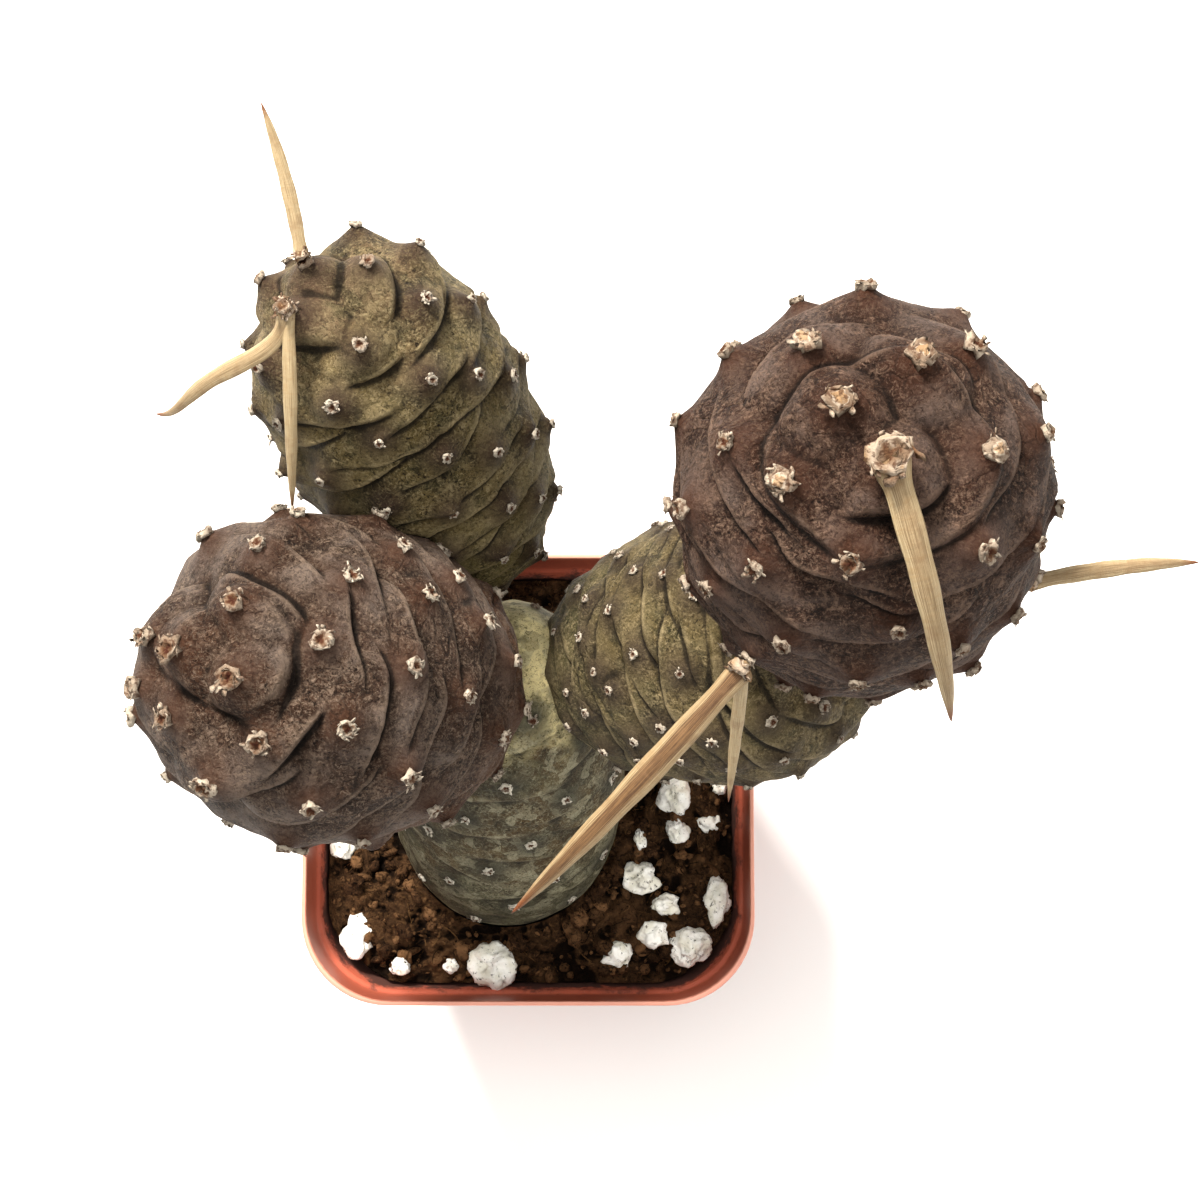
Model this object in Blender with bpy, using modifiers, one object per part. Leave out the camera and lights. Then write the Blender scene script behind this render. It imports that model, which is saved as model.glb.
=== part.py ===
"""A pine cone cactus in a square plastic pot. Metres, +Z up, origin at the centre of the pot's underside.

Four ovoid stem segments branch from one that stands in the potting mix. Each one's areoles follow a
golden angle spiral from its tip, and overlapping scales, one for each areole, raise its surface.
"""

import math

import bmesh
import bpy
import numpy as np
from mathutils import Matrix, Vector, noise

MM = 0.001
GAP = 0.3 * MM

# The pot: a thin tapered shell with a wider collar round its rim
POT_WIDTH = 69.5 * MM
POT_HEIGHT = 62 * MM
POT_WALL = 0.8 * MM
POT_CORNER_RADIUS = 13.5 * MM
POT_CORNER_STEPS = 5
# Height and half width of the outer face, from the underside up
POT_PROFILE = [
    (0.0, 23.2 * MM),
    (0.8 * MM, 24.0 * MM),
    (53.4 * MM, 33.4 * MM),
    (54.2 * MM, 34.2 * MM),
    (POT_HEIGHT, POT_WIDTH / 2),
]
DRAIN_RADIUS = 3 * MM
DRAIN_OFFSET = 13 * MM
DRAIN_SIDES = 16
DRAIN_CUT = 4.8 * MM

# The potting mix: its top at the wall, the rise towards the middle and the height of its lumps
SOIL_TOP = 50.2 * MM
SOIL_CROWN = 1.4 * MM
SOIL_LUMP = 0.9 * MM
SOIL_LUMP_SIZE = 7.0 * MM
# A second, finer set of lumps
SOIL_FINE = 2.3
SOIL_FINE_SHARE = 0.5
# How sharply the lumps die away at the wall
SOIL_EDGE_POWER = 6
SOIL_CELLS = 13
SOIL_FLOOR = POT_WALL + GAP
# Heights of the rings round the mix, each with the pot's half width there
SOIL_RINGS = [26.0 * MM, 2.0 * MM, SOIL_FLOOR]

# The stem segments' outline: how blunt the upper and the lower end are
UP_POWER = 2.3
DOWN_POWER = 2.1
OUTLINE_STEPS = 361
GOLDEN_ANGLE = math.radians(137.5077)
STEM_SIDES = 36
STEM_RINGS = 19

# Each segment: its foot and tip, its greatest radius and how far up that is, the area that each
# areole takes, where the spiral starts, its first areole's angle and the way it turns, how deep
# its scales are. Lengths in mm, areas in square mm, angles in degrees
STEMS = {
    "stem_base": {
        "foot": (-4.5, -15.0, 33.7), "tip": (-1.2, 17.0, 103.3), "radius": 17.6, "widest": 0.4,
        "area": 106.9, "start": 1.69, "angle": 204.0, "hand": -1, "scale": 1.1,
    },
    "stem_right_lower": {
        "foot": (7.5, 14.0, 86.2), "tip": (40.0, 16.6, 124.7), "radius": 17.8, "widest": 0.7,
        "area": 46.4, "start": 1.21, "angle": 32.3, "hand": 1, "scale": 1.5,
    },
    "stem_right_upper": {
        "foot": (42.1, 22.0, 125.0), "tip": (38.8, 32.3, 180.1), "radius": 20.2, "widest": 0.554,
        "area": 100.0, "start": 0.258, "angle": 154.4, "hand": 1, "scale": 2.4,
    },
    "stem_front_left": {
        "foot": (-8.8, 10.8, 93.2), "tip": (-35.0, 9.9, 144.1), "radius": 20.3, "widest": 0.566,
        "area": 97.0, "start": 0.47, "angle": 261.7, "hand": 1, "scale": 2.4,
    },
    "stem_back_left": {
        "foot": (-3.8, 30.6, 89.2), "tip": (-23.0, 57.0, 142.5), "radius": 15.8, "widest": 0.569,
        "area": 70.7, "start": 0.134, "angle": 110.9, "hand": 1, "scale": 1.9,
    },
}

# A scale, as shares of the spacing of the areoles: how far below its areole its lip is, how much the
# lip curves back at the sides, how wide it is before it falls away
LIP = 0.46
LIP_CURVE = 0.1
SCALE_HALF = 0.25
SCALE_FADE = 0.5
SCALE_SHARPNESS = 8.0
LIP_FALL = 2.0 * MM
SCALE_RISE = 1.25
SCALE_DROP = 1.6
SCALE_REACH = 2.2
# The share of a scale's depth that lies under the smooth outline, and the deepest dip between scales
RELIEF_BASE = 0.7
RELIEF_DIP = -0.6
# The relief fades out in the potting mix
RELIEF_LOW = 53.5 * MM
RELIEF_HIGH = 58.0 * MM

# The areoles: short woolly tufts
AREOLE_SIDES = 4
AREOLE_FOOT = 1.25 * MM
AREOLE_HEAD = 0.8 * MM
AREOLE_HEIGHT = 2.2 * MM
AREOLE_SINK = 0.37 * MM
AREOLE_CLEAR = 3.6 * MM
AREOLE_LOWEST = 56.0 * MM

# The papery spines left on the plant: the areole each grows from, how far over it the root is, a
# point half way and the tip, and the greatest width. Lengths in mm
SPINES = {
    "spine_1": {
        "stem": "stem_back_left", "areole": 0, "lift": 1.2, "middle": (-25.9, 66.6, 147.5),
        "tip": (-28.8, 76.0, 150.0), "width": 1.8,
    },
    "spine_2": {
        "stem": "stem_back_left", "areole": 1, "lift": 2.8, "middle": (-33.4, 46.2, 142.5),
        "tip": (-44.2, 43.2, 131.0), "width": 2.3,
    },
    "spine_3": {
        "stem": "stem_back_left", "areole": 1, "lift": 1.65, "middle": (-25.9, 41.0, 142.0),
        "tip": (-26.9, 30.2, 132.0), "width": 1.8,
    },
    "spine_4": {
        "stem": "stem_right_upper", "areole": 1, "lift": 1.5, "middle": (44.0, 14.0, 179.5),
        "tip": (48.2, 2.2, 166.0), "width": 2.9,
    },
    "spine_5": {
        "stem": "stem_right_upper", "areole": 38, "lift": 1.35, "middle": (69.3, 20.4, 153.5),
        "tip": (79.0, 21.2, 152.0), "width": 2.0,
    },
    "spine_6": {
        "stem": "stem_right_upper", "areole": 32, "lift": 2.35, "middle": (13.6, -5.5, 150.0),
        "tip": (0.6, -18.6, 140.0), "width": 3.2,
    },
    "spine_7": {
        "stem": "stem_right_upper", "areole": 32, "lift": 1.4, "middle": (26.6, 2.2, 147.5),
        "tip": (26.2, -5.6, 138.0), "width": 1.6,
    },
}
SPINE_SIDES = 6
SPINE_THICKNESS = 0.7 * MM
SPINE_THINNING = 1.8
SPINE_KEEL = 0.22
SPINE_TANGENT_STEP = 0.01
# The blade's rings from root to tip: the share of its length, and of its greatest width
SPINE_RINGS = [
    (0, 0), (0.01, 0.7), (0.13, 0.95), (0.36, 1), (0.6, 0.88), (0.8, 0.68), (0.93, 0.38),
    (0.99, 0.14), (1, 0),
]

# The perlite grains on the mix: place and half lengths, in mm
GRAINS = [
    (-5.8, -29.0, 3.5, 2.9), (-27.2, -25.2, 2.4, 3.0), (-20.5, -29.4, 1.4, 1.2),
    (-29.7, -10.4, 1.6, 2.0), (22.7, -2.6, 2.2, 2.6), (23.2, -8.0, 1.6, 1.7),
    (28.4, -7.1, 1.9, 1.6), (17.2, -9.3, 0.9, 1.4), (17.6, -15.2, 2.8, 2.1),
    (21.4, -19.6, 2.2, 1.9), (29.3, -19.1, 1.9, 3.1), (19.4, -24.2, 2.2, 1.8),
    (13.8, -27.6, 2.2, 2.0), (25.4, -26.6, 3.0, 2.8), (29.8, -1.1, 1.2, 1.2),
    (-12.4, -29.0, 1.0, 1.0),
]
GRAIN_DEPTH = 0.8
GRAIN_SUNK = 0.45
GRAIN_REST = 0.5 * MM
GRAIN_ROUGH = 0.22
GRAIN_LUMPS = 1.3
# How far apart in the noise two grains' shapes are taken
GRAIN_APART = 3.7
GRAIN_SMALL = 1.7 * MM

SHARP_ANGLE = math.radians(40)

# Colour and roughness
MATERIALS = {
    "pot": ((0.42, 0.09, 0.04), 0.42),
    "soil": ((0.035, 0.02, 0.012), 0.95),
    "stem_base": ((0.12, 0.13, 0.08), 0.7),
    "stem_right_lower": ((0.16, 0.15, 0.07), 0.7),
    "stem_right_upper": ((0.16, 0.12, 0.09), 0.75),
    "stem_front_left": ((0.17, 0.13, 0.1), 0.75),
    "stem_back_left": ((0.13, 0.12, 0.05), 0.7),
    "spine": ((0.6, 0.45, 0.28), 0.6),
    "perlite": ((0.82, 0.81, 0.78), 0.9),
}


def wipe():
    """Clears the scene."""
    for thing in list(bpy.data.objects):
        bpy.data.objects.remove(thing, do_unlink=True)


def group(name, hidden=False):
    """A collection in the scene."""
    made = bpy.data.collections.new(name)
    bpy.context.scene.collection.children.link(made)
    made.hide_render = hidden
    return made


def to_object(mesh_data, name, home):
    """Turns an edited mesh into an object."""
    mesh = bpy.data.meshes.new(name)
    mesh_data.to_mesh(mesh)
    mesh_data.free()
    made = bpy.data.objects.new(name, mesh)
    if home.hide_render:
        made.display_type = "WIRE"
    home.objects.link(made)
    return made


def paint(thing, key):
    """Gives a piece a material of its own."""
    colour, roughness = MATERIALS[key]
    material = bpy.data.materials.new(thing.name)
    material.use_nodes = True
    shader = material.node_tree.nodes["Principled BSDF"]
    shader.inputs["Base Color"].default_value = (*colour, 1)
    shader.inputs["Roughness"].default_value = roughness
    thing.data.materials.append(material)
    thing.data.shade_smooth()
    thing.data.set_sharp_from_angle(angle=SHARP_ANGLE)


def apply_modifiers(thing):
    """Bakes a piece's modifiers into its mesh."""
    bpy.context.view_layer.update()
    graph = bpy.context.evaluated_depsgraph_get()
    baked = bpy.data.meshes.new_from_object(thing.evaluated_get(graph))
    thing.modifiers.clear()
    old = thing.data
    thing.data = baked
    bpy.data.meshes.remove(old)


def combine(thing, home, operation, solver="EXACT"):
    """Joins or cuts a piece with everything in a collection, then removes the collection's pieces."""
    change = thing.modifiers.new(operation.lower(), "BOOLEAN")
    change.operation = operation
    change.operand_type = "COLLECTION"
    change.collection = home
    change.solver = solver
    apply_modifiers(thing)
    for spent in list(home.objects):
        bpy.data.objects.remove(spent, do_unlink=True)


def half_width(height, inset=0.0):
    """The pot's half width at a height."""
    heights = [step[0] for step in POT_PROFILE]
    widths = [step[1] for step in POT_PROFILE]
    return float(np.interp(height, heights, widths)) - inset


def pot_ring(mesh_data):
    """A rounded square at the pot's full width, from a bevelled square."""
    bmesh.ops.create_grid(mesh_data, x_segments=1, y_segments=1, size=POT_WIDTH / 2)
    bmesh.ops.bevel(
        mesh_data, geom=mesh_data.verts[:], offset=POT_CORNER_RADIUS, segments=POT_CORNER_STEPS,
        profile=0.5, affect="VERTICES",
    )


def scale_ring(verts, ratio, height):
    """Scales a ring about the pot's middle and sets its height."""
    for vert in verts:
        vert.co.x *= ratio
        vert.co.y *= ratio
        vert.co.z = height


def draw_up(mesh_data, edges, ratio, height):
    """Extrudes a ring of edges to another width and height and gives the new ring's edges."""
    grown = bmesh.ops.extrude_edge_only(mesh_data, edges=edges)["geom"]
    ring = [item for item in grown if isinstance(item, bmesh.types.BMVert)]
    scale_ring(ring, ratio, height)
    chosen = set(ring)
    return [edge for edge in mesh_data.edges if edge.is_boundary and chosen.issuperset(edge.verts)]


def make_pot(home, cutters):
    """The pot: a rounded square drawn up through its profile, hollowed, with drain holes."""
    mesh_data = bmesh.new()
    pot_ring(mesh_data)
    scale_ring(mesh_data.verts, POT_PROFILE[0][1] / (POT_WIDTH / 2), 0)
    edges = mesh_data.edges[:]
    before = POT_PROFILE[0][1]
    for height, width in POT_PROFILE[1:]:
        edges = draw_up(mesh_data, edges, width / before, height)
        before = width
    bmesh.ops.recalc_face_normals(mesh_data, faces=mesh_data.faces)
    if mesh_data.faces[0].normal.z > 0:
        bmesh.ops.reverse_faces(mesh_data, faces=mesh_data.faces)
    pot = to_object(mesh_data, "pot", home)
    shell = pot.modifiers.new("shell", "SOLIDIFY")
    shell.thickness = POT_WALL
    shell.offset = -1
    shell.use_even_offset = True
    shell.use_quality_normals = True
    apply_modifiers(pot)
    for x in (-DRAIN_OFFSET, DRAIN_OFFSET):
        for y in (-DRAIN_OFFSET, DRAIN_OFFSET):
            drill(x, y, cutters)
    combine(pot, cutters, "DIFFERENCE")
    return pot


def drill(x, y, cutters):
    """One drain hole's cutter."""
    mesh_data = bmesh.new()
    bmesh.ops.create_cone(
        mesh_data, cap_ends=True, segments=DRAIN_SIDES, radius1=DRAIN_RADIUS, radius2=DRAIN_RADIUS,
        depth=DRAIN_CUT, matrix=Matrix.Translation((x, y, 0)),
    )
    to_object(mesh_data, "drain", cutters)


def wall_reach(x, y):
    """How far the rounded square of half width one reaches in a direction."""
    corner = POT_CORNER_RADIUS / (POT_WIDTH / 2)
    length = math.hypot(x, y)
    along, across = max(abs(x), abs(y)) / length, min(abs(x), abs(y)) / length
    reach = 1 / along
    if across * reach <= 1 - corner:
        return reach
    centre = 1 - corner
    middle = centre * (along + across)
    return middle + math.sqrt(max(middle * middle - 2 * centre * centre + corner * corner, 0))


def soil_height(x, y, share):
    """The height of the mix's top; the share is 0 in the middle and 1 at the wall."""
    spot = Vector((x, y, 0)) / SOIL_LUMP_SIZE
    lump = SOIL_LUMP * (noise.noise(spot) + SOIL_FINE_SHARE * noise.noise(spot * SOIL_FINE))
    return SOIL_TOP + SOIL_CROWN * (1 - share * share) + lump * (1 - share ** SOIL_EDGE_POWER)


def mix_height(x, y):
    """The height of the mix's top at a place."""
    share = max(abs(x), abs(y)) / half_width(SOIL_TOP, POT_WALL + GAP)
    return soil_height(x, y, min(share, 1))


def make_soil(home, cutters):
    """The potting mix: a lumpy top over a block that fills the pot."""
    mesh_data = bmesh.new()
    bmesh.ops.create_grid(mesh_data, x_segments=SOIL_CELLS, y_segments=SOIL_CELLS, size=1)
    width = half_width(SOIL_TOP, POT_WALL + GAP)
    for vert in mesh_data.verts:
        x, y = vert.co.x, vert.co.y
        share = max(abs(x), abs(y))
        if share > 0:
            spread = width * share * wall_reach(x, y) / math.hypot(x, y)
            vert.co.x = x * spread
            vert.co.y = y * spread
        vert.co.z = soil_height(vert.co.x, vert.co.y, share)
    edges = [edge for edge in mesh_data.edges if edge.is_boundary]
    before = width
    for height in SOIL_RINGS:
        width = half_width(height, POT_WALL + GAP)
        edges = draw_up(mesh_data, edges, width / before, height)
        before = width
    bmesh.ops.contextual_create(mesh_data, geom=edges)
    bmesh.ops.recalc_face_normals(mesh_data, faces=mesh_data.faces)
    soil = to_object(mesh_data, "soil", home)
    make_stem("stem_hole", STEMS["stem_base"], cutters, GAP, False)
    combine(soil, cutters, "DIFFERENCE")
    return soil


def make_grain(name, number, grain, home):
    """One lump of perlite, flat where it lies on the mix."""
    x, y, half_x, half_y = (value * MM for value in grain)
    half_z = GRAIN_DEPTH * min(half_x, half_y)
    middle = Vector((x, y, mix_height(x, y) + GRAIN_SUNK * half_z))
    mesh_data = bmesh.new()
    fineness = 1 if max(half_x, half_y) < GRAIN_SMALL else 2
    bmesh.ops.create_icosphere(mesh_data, subdivisions=fineness, radius=1)
    for vert in mesh_data.verts:
        way = vert.co.normalized()
        bump = 1 + GRAIN_ROUGH * noise.noise(way * GRAIN_LUMPS + Vector((number * GRAIN_APART, 0, 0)))
        vert.co = middle + Vector((way.x * half_x, way.y * half_y, way.z * half_z)) * bump
        vert.co.z = max(vert.co.z, mix_height(vert.co.x, vert.co.y) + GRAIN_REST)
    return to_object(mesh_data, name, home)


def ends_of(stem):
    """A segment's foot, its axis and its length."""
    foot = np.array(stem["foot"]) * MM
    tip = np.array(stem["tip"]) * MM
    length = float(np.linalg.norm(tip - foot))
    return foot, (tip - foot) / length, length


def frame_of(stem):
    """A segment's own axes as rows, +Z turned the shortest way onto its axis."""
    axis = Vector(ends_of(stem)[1])
    turned = Vector((0, 0, 1)).rotation_difference(axis).to_matrix()
    return np.array(turned).T


def outline_of(stem):
    """Height and radius along a segment's outline from tip to foot, and the arc and area passed."""
    length = ends_of(stem)[2]
    turn = np.linspace(0, math.pi, OUTLINE_STEPS)
    upper = turn <= math.pi / 2
    power = np.where(upper, UP_POWER, DOWN_POWER)
    rise = np.abs(np.cos(turn)) ** (2 / power)
    below = stem["widest"] * length
    height = below + np.where(upper, (length - below) * rise, -below * rise)
    radius = stem["radius"] * MM * np.abs(np.sin(turn)) ** (2 / power)
    radius[-1] = 0
    step = np.hypot(np.diff(height), np.diff(radius))
    arc = np.concatenate([[0], np.cumsum(step)])
    band = math.pi * (radius[1:] + radius[:-1]) * step
    area = np.concatenate([[0], np.cumsum(band)])
    return {"height": height, "radius": radius, "arc": arc, "area": area}


def spots_on(outline, arc, angle):
    """Points on a smooth segment, with their outward, downward and sideways directions."""
    height = np.interp(arc, outline["arc"], outline["height"])
    radius = np.interp(arc, outline["arc"], outline["radius"])
    falls = np.interp(arc, outline["arc"], np.gradient(outline["height"], outline["arc"]))
    grows = np.interp(arc, outline["arc"], np.gradient(outline["radius"], outline["arc"]))
    size = np.hypot(falls, grows)
    falls, grows = falls / size, grows / size
    cos, sin = np.cos(angle), np.sin(angle)
    points = np.stack([radius * cos, radius * sin, height], -1)
    outward = np.stack([-falls * cos, -falls * sin, grows], -1)
    down = np.stack([grows * cos, grows * sin, falls], -1)
    side = np.stack([-sin, cos, np.zeros_like(sin)], -1)
    return points, outward, down, side


def areole_places(stem, outline):
    """The arc and angle of each areole: an equal area for each, a golden angle apart."""
    share = stem["area"] * MM * MM
    count = int(outline["area"][-1] / share - stem["start"])
    order = np.arange(count)
    arc = np.interp((order + stem["start"]) * share, outline["area"], outline["arc"])
    angle = math.radians(stem["angle"]) + stem["hand"] * order * GOLDEN_ANGLE
    return arc, angle


def relief(stem, outline, points):
    """How far the scales raise each point: a soft greatest of one low shape for each areole."""
    centres, _, down, side = spots_on(outline, *areole_places(stem, outline))
    pitch = math.sqrt(stem["area"]) * MM
    apart = points[:, None, :] - centres[None]
    fore = (apart * down[None]).sum(-1)
    wide = (apart * side[None]).sum(-1)
    far = np.sqrt((apart ** 2).sum(-1))
    stretch = far / (np.hypot(fore, wide) + 1e-9) / pitch
    fore, wide = fore * stretch, wide * stretch
    above = LIP - LIP_CURVE * wide * wide - fore
    rise = 1 - np.maximum(above, 0) ** SCALE_RISE
    drop = np.maximum(-above * pitch / LIP_FALL, 0) ** SCALE_DROP
    edge = np.maximum((np.abs(wide) - SCALE_HALF) / SCALE_FADE, 0) ** 2
    shape = np.where(far > SCALE_REACH * pitch, RELIEF_DIP, rise - drop - edge)
    top = np.log(np.exp(SCALE_SHARPNESS * shape).sum(1)) / SCALE_SHARPNESS
    return stem["scale"] * MM * (np.maximum(top, RELIEF_DIP) - RELIEF_BASE)


def to_world(stem, points):
    """Points from a segment's own frame to the scene."""
    return ends_of(stem)[0] + points @ frame_of(stem)


def make_stem(name, stem, home, swell=0.0, scaled=True):
    """A segment: a sphere laid along its outline, swollen by an amount, with its scales or plain."""
    outline = outline_of(stem)
    mesh_data = bmesh.new()
    bmesh.ops.create_uvsphere(mesh_data, u_segments=STEM_SIDES, v_segments=STEM_RINGS, radius=1)
    verts = mesh_data.verts[:]
    sphere = np.array([vert.co[:] for vert in verts])
    arc = np.arccos(np.clip(sphere[:, 2], -1, 1)) / math.pi * outline["arc"][-1]
    angle = np.arctan2(sphere[:, 1], sphere[:, 0])
    points, outward, _, _ = spots_on(outline, arc, angle)
    raised = np.full(len(verts), swell)
    if scaled:
        high = to_world(stem, points)[:, 2]
        fade = np.clip((high - RELIEF_LOW) / (RELIEF_HIGH - RELIEF_LOW), 0, 1)
        raised = raised + relief(stem, outline, points) * fade
    places = to_world(stem, points + outward * raised[:, None])
    for vert, place in zip(verts, places):
        vert.co = place
    bmesh.ops.triangulate(mesh_data, faces=mesh_data.faces, quad_method="FIXED")
    return to_object(mesh_data, name, home)


def near(stem, places, margin):
    """Which places in the scene are inside a segment or within a margin of it."""
    outline = outline_of(stem)
    foot, _, length = ends_of(stem)
    local = (places - foot) @ frame_of(stem).T
    reach = np.interp(local[:, 2], outline["height"][::-1], outline["radius"][::-1]) + margin
    inside = np.hypot(local[:, 0], local[:, 1]) < reach
    return inside & (local[:, 2] > -margin) & (local[:, 2] < length + margin)


def areoles_of(name):
    """Where a segment's free areoles are in the scene and the way each one faces."""
    stem = STEMS[name]
    outline = outline_of(stem)
    arc, angle = areole_places(stem, outline)
    points, outward, _, _ = spots_on(outline, arc, angle)
    raised = relief(stem, outline, points)
    places = to_world(stem, points + outward * raised[:, None])
    facing = outward @ frame_of(stem)
    free = places[:, 2] > AREOLE_LOWEST
    for other, shape in STEMS.items():
        if other != name:
            free &= ~near(shape, places, AREOLE_CLEAR)
    return places, facing, free


def add_areoles(thing, tools):
    """Joins a woolly tuft to a segment at each of its free areoles; the exact solver leaves holes here."""
    places, facing, free = areoles_of(thing.name)
    for place, way in zip(places[free], facing[free]):
        turned = Vector((0, 0, 1)).rotation_difference(Vector(way)).to_matrix().to_4x4()
        mesh_data = bmesh.new()
        bmesh.ops.create_cone(
            mesh_data, cap_ends=True, segments=AREOLE_SIDES, radius1=AREOLE_FOOT,
            radius2=AREOLE_HEAD, depth=AREOLE_HEIGHT,
            matrix=Matrix.Translation(Vector(place - way * AREOLE_SINK)) @ turned,
        )
        to_object(mesh_data, "areole", tools)
    combine(thing, tools, "UNION", "MANIFOLD")


def blade_path(spine):
    """A spine's curve: a function from share of length to place, from its areole to its tip."""
    places, facing, _ = areoles_of(spine["stem"])
    root = places[spine["areole"]] + facing[spine["areole"]] * spine["lift"] * MM
    middle = np.array(spine["middle"]) * MM
    tip = np.array(spine["tip"]) * MM
    bend = 2 * middle - (root + tip) / 2

    def place(share):
        rest = 1 - share
        return root * rest * rest + bend * 2 * share * rest + tip * share * share

    return place


def make_spine(name, spine, home):
    """A papery spine: a six-sided ball drawn out along its curve into a thin blade, folded along the
    middle and cut into flat triangles."""
    place = blade_path(spine)
    mesh_data = bmesh.new()
    last = len(SPINE_RINGS) - 1
    bmesh.ops.create_uvsphere(mesh_data, u_segments=SPINE_SIDES, v_segments=last, radius=1)
    for vert in mesh_data.verts:
        ring = round(Vector((0, 0, 1)).angle(vert.co) / math.pi * last)
        share, width = SPINE_RINGS[ring]
        flat = vert.co.xy.normalized() if 0 < ring < last else vert.co.xy
        across = flat.y / math.sin(math.pi / 3)
        ahead, behind = place(share + SPINE_TANGENT_STEP), place(share - SPINE_TANGENT_STEP)
        along = Vector(ahead - behind).normalized()
        side = Vector((0, 0, 1)).cross(along).normalized()
        over = along.cross(side)
        half = width * spine["width"] * MM / 2
        fold = SPINE_KEEL * 2 * half * (abs(across) - 1)
        thick = SPINE_THICKNESS / 2 * min(1, SPINE_THINNING * width) * flat.x
        vert.co = Vector(place(share)) + side * across * half + over * (fold + thick)
    bmesh.ops.triangulate(mesh_data, faces=mesh_data.faces, quad_method="FIXED")
    bmesh.ops.recalc_face_normals(mesh_data, faces=mesh_data.faces)
    return to_object(mesh_data, name, home)


def build():
    """Makes every piece of the plant and its pot."""
    wipe()
    home = group("pine_cone_cactus")
    cutters = group("cutters", hidden=True)
    paint(make_pot(home, cutters), "pot")
    paint(make_soil(home, cutters), "soil")
    done = []
    for name, stem in STEMS.items():
        thing = make_stem(name, stem, home)
        for earlier in done:
            make_stem(earlier + "_cut", STEMS[earlier], cutters, GAP)
        if done:
            combine(thing, cutters, "DIFFERENCE")
        add_areoles(thing, cutters)
        paint(thing, name)
        done.append(name)
    for name, spine in SPINES.items():
        paint(make_spine(name, spine, home), "spine")
    for number, grain in enumerate(GRAINS):
        paint(make_grain(f"perlite_{number + 1}", number, grain, home), "perlite")


build()
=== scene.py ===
"""The looks of a potted pine cone cactus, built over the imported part. Metres, +Z up.

Each stem segment is a fine skin: an egg-shaped outline turned about its axis and raised by one
overlapping scale for each areole. Woolly tufts, papery spines, potting mix, perlite and the pot
follow, then the materials, the floor, the lights and the camera.
"""

import math

import bmesh
import bpy
import numpy as np
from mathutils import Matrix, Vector


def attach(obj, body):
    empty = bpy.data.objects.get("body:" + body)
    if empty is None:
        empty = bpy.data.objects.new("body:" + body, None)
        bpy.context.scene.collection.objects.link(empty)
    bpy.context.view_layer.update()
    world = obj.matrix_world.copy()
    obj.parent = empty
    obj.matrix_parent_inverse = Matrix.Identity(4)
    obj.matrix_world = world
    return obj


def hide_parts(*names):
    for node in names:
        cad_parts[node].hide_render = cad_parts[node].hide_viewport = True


MM = 0.001
SEED = 11

# The stem segments' outline: how blunt the upper and the lower end are
UP_POWER = 2.3
DOWN_POWER = 2.1
OUTLINE_STEPS = 361
GOLDEN_ANGLE = math.radians(137.5077)

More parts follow.
